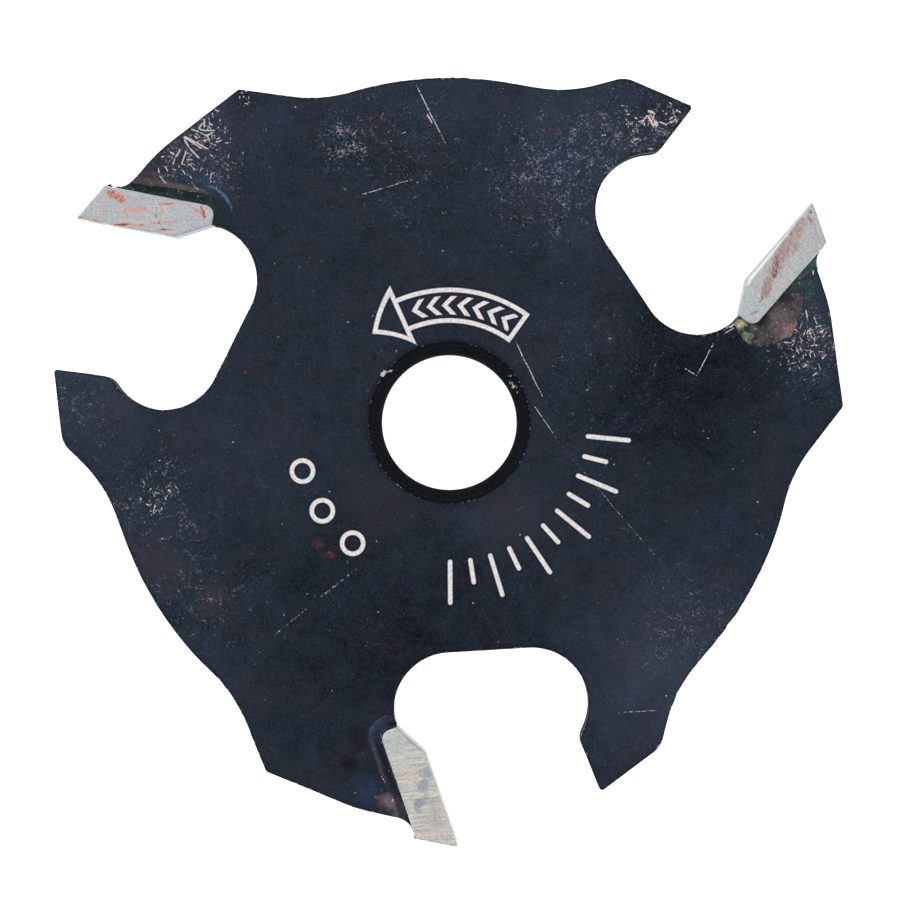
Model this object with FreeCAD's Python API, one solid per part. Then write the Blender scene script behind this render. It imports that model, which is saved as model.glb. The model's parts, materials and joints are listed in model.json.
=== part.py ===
"""Three-wing slot cutter for a router arbor: a blackened steel body with three hard-metal tips brazed into
seats on its wings. Millimetres. The origin is on the bore axis at the body's mid-thickness, +Z is the bore
axis, and the cutting corners stand at 30, 150 and 270 degrees. Seen from +Z the cutter turns anticlockwise."""

import FreeCAD, Part
import math
import os

from FreeCAD import Vector

# Driving dimensions
WING_COUNT = 3
FIRST_WING_ANGLE = 30.0
CUTTING_RADIUS = 25.0
BODY_THICKNESS = 4.0
KERF_WIDTH = 4.76
BORE_DIAMETER = 7.94
BORE_CHAMFER = 0.8
EDGE_BREAK = 0.12

# Hard-metal tip, measured along its rake face from the cutting corner and back from that face
HOOK_ANGLE = 18.0
TIP_LENGTH = 7.9
TIP_THICKNESS = 2.2
TIP_OUTER_CLEARANCE = 30.0
TIP_FACET_START = 5.9
TIP_FACET_DEPTH = 1.1
TIP_ROOT_RADIUS = 0.6
RADIAL_SIDE_CLEARANCE = 1.0
TANGENTIAL_SIDE_CLEARANCE = 2.0

# Seat, its side relief and the braze alloy
BRAZE_GAP = 0.1
SEAT_OUTER_END = 2.5
SEAT_INNER_LIP = 8.3
RELIEF_WIDTH = 0.95
RELIEF_DEPTH = 0.12
BEAD_WIDTH = 0.75
BEAD_TOP_WIDTH = 0.15
BEAD_HEIGHT = 0.12
HEEL_FILLET_RADIUS = 1.4

# Body outline of one wing, from its tip's seat round to the next wing's seat. A place is its distance from the
# bore axis and its angle in degrees behind the wing's cutting corner.
WING_BACK = (23.4, 14.5)
WING_BACK_RADIUS = 10.0
HEEL = (23.2, 29.0)
HEEL_RADIUS = 0.3

# The rim is concentric with the bore between two angles and hollowed out on either side, beside heel and nose
RIM_RADIUS = 20.3
RIM_START = 45.0
RIM_END = 71.0
HEEL_HOLLOW_ANGLE = 39.7
NOSE_HOLLOW_ANGLE = 81.2
HOLLOW_RADIUS = 8.5

# The nose has a radial front and a straight outer face
SHOULDER = (22.8, 88.2)
SHOULDER_RADIUS = 1.5
NOSE_ANGLE = 99.0
NOSE_TOP = 23.5
NOSE_TOP_RADIUS = 0.2
NOSE_ROOT = 20.1
NOSE_ROOT_RADIUS = 1.0

# The gullet is the straight path of one milling cutter between two places of its axis
GULLET_RADIUS = 3.35
GULLET_OUTER_END = (17.3, 105.0)
GULLET_INNER_END = (16.9, 121.0)

HALF_BODY = BODY_THICKNESS / 2
HALF_KERF = KERF_WIDTH / 2
WING_PITCH = 360.0 / WING_COUNT
UP = Vector(0, 0, 1)

# How far a cutting tool reaches past the part, and when two points count as one
BEYOND = 5.0
TOLERANCE = 1e-6


def turned(point, degrees):
    """A point turned about the bore axis."""
    a = math.radians(degrees)
    x = point.x * math.cos(a) - point.y * math.sin(a)
    y = point.x * math.sin(a) + point.y * math.cos(a)
    return Vector(x, y, point.z)


def place(radius, degrees):
    """The point of the wing frame at this distance from the bore axis and angle behind the cutting corner."""
    return turned(Vector(radius, 0, 0), -degrees)


def tip_point(along, depth):
    """A point of the wing frame from its distance along the rake face and its depth behind that face."""
    inward = turned(Vector(-1, 0, 0), HOOK_ANGLE)
    backward = turned(Vector(0, -1, 0), HOOK_ANGLE)
    return Vector(CUTTING_RADIUS, 0, 0) + inward * along + backward * depth


def rounded_wire(corners):
    """A closed wire through (point, radius) corners: straight runs joined by tangent arcs."""
    count = len(corners)
    starts, ends, edges = [], [], []
    for i, (corner, radius) in enumerate(corners):
        to_last = (corners[i - 1][0] - corner).normalize()
        to_next = (corners[(i + 1) % count][0] - corner).normalize()
        half = to_last.getAngle(to_next) / 2
        reach = radius / math.tan(half)
        start = corner + to_last * reach
        end = corner + to_next * reach
        starts.append(start)
        ends.append(end)
        if radius > 0:
            bisector = (to_last + to_next).normalize()
            middle = corner + bisector * (radius / math.sin(half) - radius)
            edges.append(Part.Arc(start, middle, end).toShape())
    runs = []
    for i in range(count):
        following = starts[(i + 1) % count]
        if (following - ends[i]).Length > TOLERANCE:
            runs.append(Part.LineSegment(ends[i], following).toShape())
    return Part.Wire(Part.__sortEdges__(edges + runs))


def prism(wire, low, high):
    """The solid of a flat closed wire at z = 0, from height low to height high."""
    face = Part.Face(wire)
    face.translate(UP * low)
    return face.extrude(UP * (high - low))


def placed(shape, wing):
    """A copy of a wing-frame shape, turned to where that wing stands."""
    copy = shape.copy()
    copy.rotate(Vector(0, 0, 0), UP, FIRST_WING_ANGLE + wing * WING_PITCH)
    return copy


def tip_wire(grow=0.0):
    """The tip's plan outline, grown outward by the given amount."""
    heel_along = TIP_THICKNESS * math.tan(math.radians(TIP_OUTER_CLEARANCE))
    corners = [
        (tip_point(0, 0), 0.0),
        (tip_point(TIP_FACET_START, 0), 0.0),
        (tip_point(TIP_LENGTH, TIP_FACET_DEPTH), 0.0),
        (tip_point(TIP_LENGTH, TIP_THICKNESS), TIP_ROOT_RADIUS),
        (tip_point(heel_along, TIP_THICKNESS), 0.0),
    ]
    wire = rounded_wire(corners)
    if grow > 0:
        wire = wire.makeOffset2D(grow)
    return wire


def crossing(point, direction, other_point, other_direction):
    """Where two lines in the plane meet."""
    gap = other_point - point
    spread = direction.x * other_direction.y - direction.y * other_direction.x
    along = (gap.x * other_direction.y - gap.y * other_direction.x) / spread
    return point + direction * along


def touching(point, centre, radius, side):
    """The direction from a point along its tangent to a circle: side is +1 or -1, for either tangent."""
    to_centre = centre - point
    opening = math.degrees(math.asin(radius / to_centre.Length))
    return turned(to_centre.normalize(), side * opening)


def rim_place(degrees, touch):
    """A place on the rim's tangent line, which touches the rim at the angle called touch."""
    return place(RIM_RADIUS / math.cos(math.radians(degrees - touch)), degrees)


def gullet_corners(nose_root, lip):
    """The two corners of the gullet: its outer wall, its floor and its inner wall touch the same two circles."""
    outer_end = place(*GULLET_OUTER_END)
    inner_end = place(*GULLET_INNER_END)
    floor = (inner_end - outer_end).normalize()
    on_floor = outer_end + turned(floor, -90) * GULLET_RADIUS
    outer_wall = touching(nose_root, outer_end, GULLET_RADIUS, -1)
    inner_wall = touching(lip, inner_end, GULLET_RADIUS, 1)
    return crossing(nose_root, outer_wall, on_floor, floor), crossing(lip, inner_wall, on_floor, floor)


def wing_corners():
    """The corners of one wing with their radii, from its own seat to the lip of the next wing's seat."""
    nose_root = place(NOSE_ROOT, NOSE_ANGLE)
    lip = turned(tip_point(SEAT_INNER_LIP, TIP_FACET_DEPTH), -WING_PITCH)
    gullet_outer, gullet_inner = gullet_corners(nose_root, lip)
    return [
        (seat_corner(), 0.0),
        (place(*WING_BACK), WING_BACK_RADIUS),
        (place(*HEEL), HEEL_RADIUS),
        (rim_place(HEEL_HOLLOW_ANGLE, RIM_START), HOLLOW_RADIUS),
        (rim_place((RIM_START + RIM_END) / 2, RIM_START), RIM_RADIUS),
        (rim_place(NOSE_HOLLOW_ANGLE, RIM_END), HOLLOW_RADIUS),
        (place(*SHOULDER), SHOULDER_RADIUS),
        (place(NOSE_TOP, NOSE_ANGLE), NOSE_TOP_RADIUS),
        (nose_root, NOSE_ROOT_RADIUS),
        (gullet_outer, GULLET_RADIUS),
        (gullet_inner, GULLET_RADIUS),
        (lip, 0.0),
    ]


def blank_wire():
    """The whole body outline before the seats are milled: each seat is bridged by a straight run."""
    corners = []
    for wing in range(WING_COUNT):
        for point, radius in wing_corners():
            corners.append((turned(point, FIRST_WING_ANGLE - wing * WING_PITCH), radius))
    return rounded_wire(corners)


def bore_tool():
    """What the drill and the countersink take out: the bore with a chamfer at each mouth."""
    radius = BORE_DIAMETER / 2
    mouth = radius + BORE_CHAMFER + BEYOND
    tool = Part.makeCylinder(radius, 2 * BEYOND, Vector(0, 0, -BEYOND))
    cone = Part.makeCone(radius, mouth, BORE_CHAMFER + BEYOND, Vector(0, 0, HALF_BODY - BORE_CHAMFER))
    lower_cone = cone.mirror(Vector(0, 0, 0), UP)
    return tool.fuse([cone, lower_cone])


def rim_edges(solid):
    """The edges that run round the outline on the body's two faces."""
    found = []
    for edge in solid.Edges:
        box = edge.BoundBox
        flat = box.ZMax - box.ZMin < TOLERANCE
        if flat and abs(abs(box.ZMax) - HALF_BODY) < TOLERANCE:
            found.append(edge)
    return found


def cutter_body():
    """The steel body: blank, broken edges, bore, and on each wing a seat with relieved sides."""
    blank = prism(blank_wire(), -HALF_BODY, HALF_BODY)
    body = blank.makeChamfer(EDGE_BREAK, rim_edges(blank)).cut(bore_tool())
    seat = prism(tip_wire(BRAZE_GAP), -BEYOND, BEYOND)
    relief_top = prism(tip_wire(RELIEF_WIDTH), HALF_BODY - RELIEF_DEPTH, BEYOND)
    relief_bottom = relief_top.mirror(Vector(0, 0, 0), UP)
    tools = []
    for wing in range(WING_COUNT):
        tools += [placed(tool, wing) for tool in (seat, relief_top, relief_bottom)]
    return body.cut(tools)


def side_clearance_block():
    """The space between the two sloping planes that the tip's sides are ground to."""
    inward = turned(Vector(-1, 0, 0), HOOK_ANGLE)
    backward = turned(Vector(0, -1, 0), HOOK_ANGLE)
    radial_fall = math.tan(math.radians(RADIAL_SIDE_CLEARANCE))
    tangential_fall = math.tan(math.radians(TANGENTIAL_SIDE_CLEARANCE))
    normal = (inward * radial_fall + backward * tangential_fall + UP).normalize()
    span = 4 * TIP_LENGTH
    face = Part.makePlane(span, span, Vector(-span / 2, -span / 2, 0))
    face.Placement = FreeCAD.Placement(
        Vector(CUTTING_RADIUS, 0, HALF_KERF), FreeCAD.Rotation(UP, normal)
    ).multiply(face.Placement)
    under_top = face.extrude(normal * -2 * BEYOND)
    over_bottom = under_top.mirror(Vector(0, 0, 0), UP)
    return under_top.common(over_bottom)


def carbide_tip():
    """One hard-metal tip in the wing frame, widest at its cutting corner."""
    return prism(tip_wire(), -BEYOND, BEYOND).common(side_clearance_block())


def corner_fill(corner, toward_a, toward_b, radius):
    """The wire of a concave fillet in a corner between two directions."""
    half = toward_a.getAngle(toward_b) / 2
    reach = radius / math.tan(half)
    start = corner + toward_a * reach
    end = corner + toward_b * reach
    bisector = (toward_a + toward_b).normalize()
    middle = corner + bisector * (radius / math.sin(half) - radius)
    edges = [
        Part.LineSegment(corner, start).toShape(),
        Part.Arc(start, middle, end).toShape(),
        Part.LineSegment(end, corner).toShape(),
    ]
    return Part.Wire(edges)


def seat_corner():
    """Where the wing's back edge meets the seat."""
    return tip_point(SEAT_OUTER_END, TIP_THICKNESS + BRAZE_GAP)


def along_wing_back():
    """The direction of the wing's back edge, away from the seat."""
    return (place(*WING_BACK) - seat_corner()).normalize()


def along_tip_back():
    """The direction of the tip's back face, outward."""
    return turned(Vector(1, 0, 0), HOOK_ANGLE)


def tip_back_corner():
    """Where the wing's back edge, carried on across the braze, meets the back of the tip."""
    meeting = along_wing_back().getAngle(along_tip_back())
    return seat_corner() - along_wing_back() * (BRAZE_GAP / math.sin(meeting))


def heel_fillet():
    """The braze that ran into the corner behind the tip, outside the seat, up past the foot of the beads."""
    reach = HALF_BODY - RELIEF_DEPTH / 2
    wire = corner_fill(tip_back_corner(), along_tip_back(), along_wing_back(), HEEL_FILLET_RADIUS)
    return prism(wire, -reach, reach)


def braze_zone():
    """The part of the wing that braze may cover, bounded by the wing's back edge and the gullet lip."""
    beyond_root = TIP_LENGTH + BEYOND
    corners = [
        tip_back_corner(),
        place(*WING_BACK),
        tip_point(beyond_root, TIP_THICKNESS + BEYOND / 2),
        tip_point(beyond_root, TIP_FACET_DEPTH),
        tip_point(TIP_FACET_START, TIP_FACET_DEPTH),
    ]
    return prism(rounded_wire([(corner, 0.0) for corner in corners]), -BEYOND, BEYOND)


def bead(side):
    """The low bead of braze round the tip on one face of the body: side is +1 or -1."""
    floor = HALF_BODY - RELIEF_DEPTH
    foot = tip_wire(BEAD_WIDTH)
    crest = tip_wire(BEAD_TOP_WIDTH)
    foot.translate(UP * floor)
    crest.translate(UP * (HALF_BODY + BEAD_HEIGHT))
    ring = Part.makeLoft([foot, crest], True, True)
    if side < 0:
        ring = ring.mirror(Vector(0, 0, 0), UP)
    return ring


def braze_joint():
    """The braze of one tip in the wing frame: the film in the seat, a bead on each face and the heel fillet."""
    floor = HALF_BODY - RELIEF_DEPTH
    film = prism(tip_wire(BRAZE_GAP), -floor, floor)
    alloy = film.fuse([bead(1), bead(-1)]).common(braze_zone()).fuse(heel_fillet())
    tip_space = prism(tip_wire(), -BEYOND, BEYOND)
    return alloy.cut(tip_space).removeSplitter()


def export(shape, node):
    """Checks that a node holds one sound solid and writes its STEP."""
    if not shape.isValid() or len(shape.Solids) != 1:
        raise ValueError(f"{node}: valid {shape.isValid()}, solids {len(shape.Solids)}")
    shape.Solids[0].exportStep(f"parts/{node}.step")
    print(f"{node}: {shape.Volume:.2f} mm3")


def main():
    os.makedirs("parts", exist_ok=True)
    export(cutter_body(), "cutter_body")
    tip = carbide_tip()
    braze = braze_joint()
    for wing in range(WING_COUNT):
        export(placed(tip, wing), f"carbide_tip_{wing + 1}")
        export(placed(braze, wing), f"braze_joint_{wing + 1}")


main()
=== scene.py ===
# The looks of a three-wing slot cutter: blackened steel body, ground hard-metal tips and their braze.
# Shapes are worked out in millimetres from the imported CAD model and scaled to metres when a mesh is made.

import json
import math

import bmesh
import bpy
import numpy as np
from mathutils import Matrix, Vector, geometry, kdtree, noise


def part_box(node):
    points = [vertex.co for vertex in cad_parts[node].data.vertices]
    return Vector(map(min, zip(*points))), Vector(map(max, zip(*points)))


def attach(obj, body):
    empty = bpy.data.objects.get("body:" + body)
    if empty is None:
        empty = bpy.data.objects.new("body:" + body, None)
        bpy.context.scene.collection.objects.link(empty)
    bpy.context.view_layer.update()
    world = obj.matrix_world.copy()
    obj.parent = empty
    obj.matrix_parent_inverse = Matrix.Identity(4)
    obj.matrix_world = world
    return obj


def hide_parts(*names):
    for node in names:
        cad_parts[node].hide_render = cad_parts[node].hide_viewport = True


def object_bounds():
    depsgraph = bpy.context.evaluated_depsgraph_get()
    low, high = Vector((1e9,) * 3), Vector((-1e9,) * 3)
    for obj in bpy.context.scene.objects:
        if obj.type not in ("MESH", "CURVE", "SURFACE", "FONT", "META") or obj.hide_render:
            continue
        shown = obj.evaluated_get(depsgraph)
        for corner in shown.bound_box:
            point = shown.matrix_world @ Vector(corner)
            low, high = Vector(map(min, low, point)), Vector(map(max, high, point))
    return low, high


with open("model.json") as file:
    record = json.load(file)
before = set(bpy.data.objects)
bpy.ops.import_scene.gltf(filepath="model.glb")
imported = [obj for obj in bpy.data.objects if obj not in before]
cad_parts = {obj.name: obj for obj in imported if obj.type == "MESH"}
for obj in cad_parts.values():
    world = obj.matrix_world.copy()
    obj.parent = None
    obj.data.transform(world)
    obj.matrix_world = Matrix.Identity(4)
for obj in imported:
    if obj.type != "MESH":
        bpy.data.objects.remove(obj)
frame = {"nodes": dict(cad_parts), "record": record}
cad_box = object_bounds()

MM = 0.001
BODY_NODE = "cutter_body"
WINGS = (1, 2, 3)

# The body's faces and bore, from the frame
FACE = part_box(BODY_NODE)[1].z / MM
BORE = next(m for m in frame["record"]["mounts"] if m["name"] == "arbor_bore")
BORE_RADIUS = BORE["dims"]["r_mm"]
BORE_CHAMFER = FACE - BORE["dims"]["length_mm"] / 2

# How finely the pieces are divided, in mm
OUTLINE_STEP = 0.16
FACE_STEP = 0.7
RIM_BAND_STEP = 0.35
SEAT_BAND_STEP = 0.14
BORE_DIVISIONS = 288
MOUTH_BAND = 0.3
WALL_ROWS = 7
TIP_STEP = 0.08
TIP_GRID = 0.09
TIP_ROWS = 10
BRAZE_STEP = 0.09

# The body's small shapes, in mm; a broken edge is (inset, drop, brightness) from the side to the face, where
# brightness is how strongly painted shade and specks of painted highlight lie on the edge
SEAT_RELIEF_WIDTHS = {1: 0.95, 2: 1.02, 3: 0.8}
SEAT_RELIEF_DEPTH = 0.12
RELIEF_STEP_WIDTH = 0.1
UNEVENNESS = 0.004
BODY_EDGE = ((0.0, 0.13, 0.2), (0.01, 0.08, 0.8), (0.036, 0.04, 1.0), (0.078, 0.013, 0.7), (0.13, 0.0, 0.0))
WALL_WANDER = 0.012
RAGGED_WANDER = 0.07
RAGGED_RIMS = ((-36.0, 5.0), (-51.0, 3.0), (-129.0, 6.0), (89.0, 7.0))
NICK_COUNT = 46

# The tips' small shapes, in each tip's own terms: along its rake face from the cutting corner, and back
# A tip's broken edge is (inset, drop, strength of the painted highlight on it)
TIP_EDGE = ((0.0, 0.05, 0.6), (0.015, 0.018, 1.0), (0.05, 0.0, 0.2))
# Chips in the cutting edge: (place along, half width, depth)
TIP_CHIPS = {
    1: ((2.1, 0.1, 0.02),),
    2: ((0.35, 0.12, 0.05), (1.7, 0.15, 0.06), (4.9, 0.3, 0.05), (5.5, 0.15, 0.04)),
    3: ((0.05, 0.15, 0.05),),
}
# The strip ground along one edge: from, to, its width at the start, middle and end, and its slope
TIP_STRIPS = {
    1: ((0.0, 0.0), (5.9, 0.0), (0.0, 0.2, 0.3), 0.35),
    2: ((5.9, 0.0), (7.9, 1.1), (0.04, 0.08, 0.04), 0.2),
    3: ((5.9, 0.0), (7.9, 1.1), (0.06, 0.24, 0.06), 0.25),
}

# The braze: heights of foot and crest, and how wide it spreads at each distance round from the gullet
BEAD_FLOOR = FACE - UNEVENNESS - SEAT_RELIEF_DEPTH
BEAD_CREST = FACE + 0.08
BEAD_WIDTHS = {
    1: (
        (0.0, 0.5), (0.5, 0.75), (0.95, 1.5), (1.4, 1.95),
        (1.9, 2.15), (2.7, 1.9), (4.2, 1.0), (5.0, 0.6), (6.0, 0.4),
    ),
    2: ((0.0, 0.4), (0.8, 0.6), (1.6, 0.66), (4.0, 0.62), (5.5, 0.5), (7.0, 0.4)),
    3: ((0.0, 0.35), (0.8, 0.5), (2.0, 0.46), (4.0, 0.42), (5.5, 0.55), (7.0, 0.5)),
}
# (place along the tip, spread, thickness)
BRAZE_BURRS = {
    1: ((1.7, 0.3, 0.05),),
    2: ((1.55, 0.12, 0.18), (2.1, 0.15, 0.14)),
    3: ((1.4, 0.12, 0.12), (1.9, 0.5, 0.06)),
}
# A bead's section: (share of its width, fall of a narrow bead, of a wide one, and of one outside the seat)
BEAD_SHAPE = (
    (0.0, 0.06, 0.04, 0.1),
    (0.1, 0.0, 0.0, 0.0),
    (0.28, 0.14, 0.03, 0.0),
    (0.48, 0.4, 0.08, 0.05),
    (0.68, 0.64, 0.16, 0.15),
    (0.85, 0.84, 0.3, 0.35),
    (0.95, 0.96, 0.6, 0.6),
    (1.0, 1.0, 1.0, 1.0),
)

# The etched marks: half the width of their strokes, in mm
ETCH_HALF_WIDTH = 0.13
# An arrow: inner and outer radius, overhang of the head, and the bearings of tail, neck and point in degrees
ARROW = (6.0, 7.8, 0.7, 53.0, 113.0, 128.0)
CHEVRON_START = 61.0
CHEVRON_PITCH = 7.5
# How much nearer a chevron is than its distance round the arc, and its gap to the arrow's outline
CHEVRON_SLANT = 0.75
CHEVRON_MARGIN = 0.36
# Ticks: inner radius, outer radius of the short and the long ones, first bearing, pitch and number
TICKS = (8.2, 9.5, 10.6, -91.0, 8.4, 11)
# How far away a tick counts as being outside the row
NO_TICK = 9.0
# Rings: orbit, radius, first bearing, pitch and number
RINGS = (9.1, 0.62, 197.0, 16.5, 3)
# Nicks in the bore's upper chamfer, told like the scratches
BORE_NICKS = (
    (-3.9, 2.8, -3.6, 3.1, 0.2, 0.8, 0.9),
    (-3.5, 3.1, -3.2, 3.2, 0.15, 0.6, 0.8),
    (-4.3, 2.3, -4.2, 2.4, 0.14, 0.8, 0.9),
    (3.6, 2.3, 3.8, 2.2, 0.14, 0.7, 0.5),
    (3.7, 2.0, 4.0, 2.0, 0.16, 0.9, 0.9),
    (4.0, 1.7, 4.1, 1.6, 0.14, 0.7, 0.8),
    (3.5, 2.7, 3.7, 2.7, 0.14, 0.5, 0.2),
)

# Patches of painted light and shade, where the steel's face is painted lighter or darker: (x, y, radius,
# change)
LIGHT_AND_SHADE_PATCHES = (
    (13.5, 2.6, 6.5, -0.44),
    (8.6, 5.0, 2.8, 0.28),
    (11.0, -17.0, 5.0, 0.3),
    (-7.0, 19.5, 4.0, 0.15),
    (-13.0, -13.5, 5.0, 0.15),
    (-6.5, -12.5, 7.5, -0.3),
    (1.0, -11.5, 6.0, -0.2),
    (8.3, 16.0, 6.0, 0.5),
    (13.6, -13.4, 5.5, 0.5),
    (-21.1, 2.5, 4.5, 0.5),
    (-18.8, -7.0, 4.5, 0.3),
    (2.4, -5.4, 2.6, 0.25),
    (-0.5, 19.6, 4.0, 0.25),
    (-14.5, 16.5, 4.0, 0.5),
    (21.5, 6.0, 4.0, 0.4),
    (-12.5, -1.0, 5.0, 0.15),
)
# The gap to a tip that stands for no limit, and for far from all tips
FAR_GAP = 9.0
# Tints of heat and flux on the upper face, and three painted highlights along the relief's step and the
# braze ridge: (x, y, radius, nearest and farthest gap to a tip, tint, strength)
HEAT_TINTS_AND_HIGHLIGHTS = (
    (20.9, 7.4, 1.0, 0.0, FAR_GAP, (50, 74, 76), 0.6),
    (20.2, 6.8, 0.7, 0.0, FAR_GAP, (60, 84, 84), 0.7),
    (19.6, 3.4, 1.2, 0.0, FAR_GAP, (30, 32, 38), 0.6),
    (-15.6, 14.6, 2.3, 0.5, 1.02, (94, 86, 84), 1.0),
    (-17.4, 14.8, 1.2, 0.4, 1.3, (80, 72, 72), 0.9),
    (-14.2, 14.8, 1.7, 0.9, 1.9, (50, 62, 86), 0.9),
    (-13.0, 13.6, 1.3, 0.4, 1.02, (40, 48, 62), 0.8),
    # A blue heat tint with a painted highlight along the relief's step beside tip 2
    (-12.9, 13.8, 1.1, 0.98, 1.1, (104, 136, 164), 1.0),
    (-4.6, -18.1, 1.2, 0.4, 0.85, (54, 62, 86), 0.9),
    # A painted highlight along the edge of the relief's step beside tip 3
    (-4.5, -17.7, 0.9, 0.72, 0.84, (92, 100, 124), 0.8),
    (-5.6, -18.5, 0.9, 1.0, 3.0, (36, 30, 34), 0.9),
    (-5.3, -21.5, 1.0, 0.6, FAR_GAP, (48, 58, 86), 0.8),
    (-4.7, -21.9, 0.16, 0.0, FAR_GAP, (132, 88, 88), 0.9),
    (-4.4, -22.4, 0.4, 0.0, FAR_GAP, (84, 66, 74), 0.9),
    (-4.0, -22.2, 0.5, 0.0, FAR_GAP, (130, 118, 118), 1.0),
    (-3.5, -22.9, 0.45, 0.0, FAR_GAP, (116, 108, 108), 1.0),
    (-5.5, -19.7, 0.12, 0.0, FAR_GAP, (150, 60, 52), 0.9),
    (-6.3, -20.0, 0.6, 0.0, FAR_GAP, (28, 26, 30), 0.8),
    (-7.9, -6.9, 0.35, 0.0, FAR_GAP, (84, 50, 58), 0.7),
    (-7.2, -7.6, 0.2, 0.0, FAR_GAP, (96, 50, 58), 0.7),
    (-17.0, -8.3, 1.6, 0.0, FAR_GAP, (62, 56, 62), 0.6),
    (-14.2, -10.0, 1.0, 0.0, FAR_GAP, (66, 60, 66), 0.6),
    (-4.5, -4.5, 2.2, 0.0, FAR_GAP, (50, 49, 60), 0.6),
    # A painted highlight along the braze ridge beside tip 3
    (-4.9, -19.8, 1.8, 0.52, 0.72, (78, 74, 88), 0.9),
    (4.0, -5.6, 2.2, 0.0, FAR_GAP, (54, 53, 64), 0.7),
)
# Where the blackening is worn to pale specks: (x, y, radius, share)
HAZE = (
    (5.4, 14.3, 4.0, 0.36),
    (8.8, 12.5, 4.0, 0.16),
    (6.5, 16.5, 3.0, 0.12),
    (-2.5, 16.1, 4.5, 0.26),
    (-6.0, 16.8, 2.0, 0.45),
    (-14.9, 16.4, 4.5, 0.4),
    (12.0, 16.0, 4.5, 0.42),
    (14.0, -12.5, 4.0, 0.35),
    (-18.0, -4.0, 4.0, 0.32),
    (-15.0, -10.0, 4.0, 0.28),
    (21.4, 4.5, 4.0, 0.4),
    (9.0, 3.0, 5.0, 0.16),
    (-22.0, 2.0, 3.0, 0.3),
)
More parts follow.
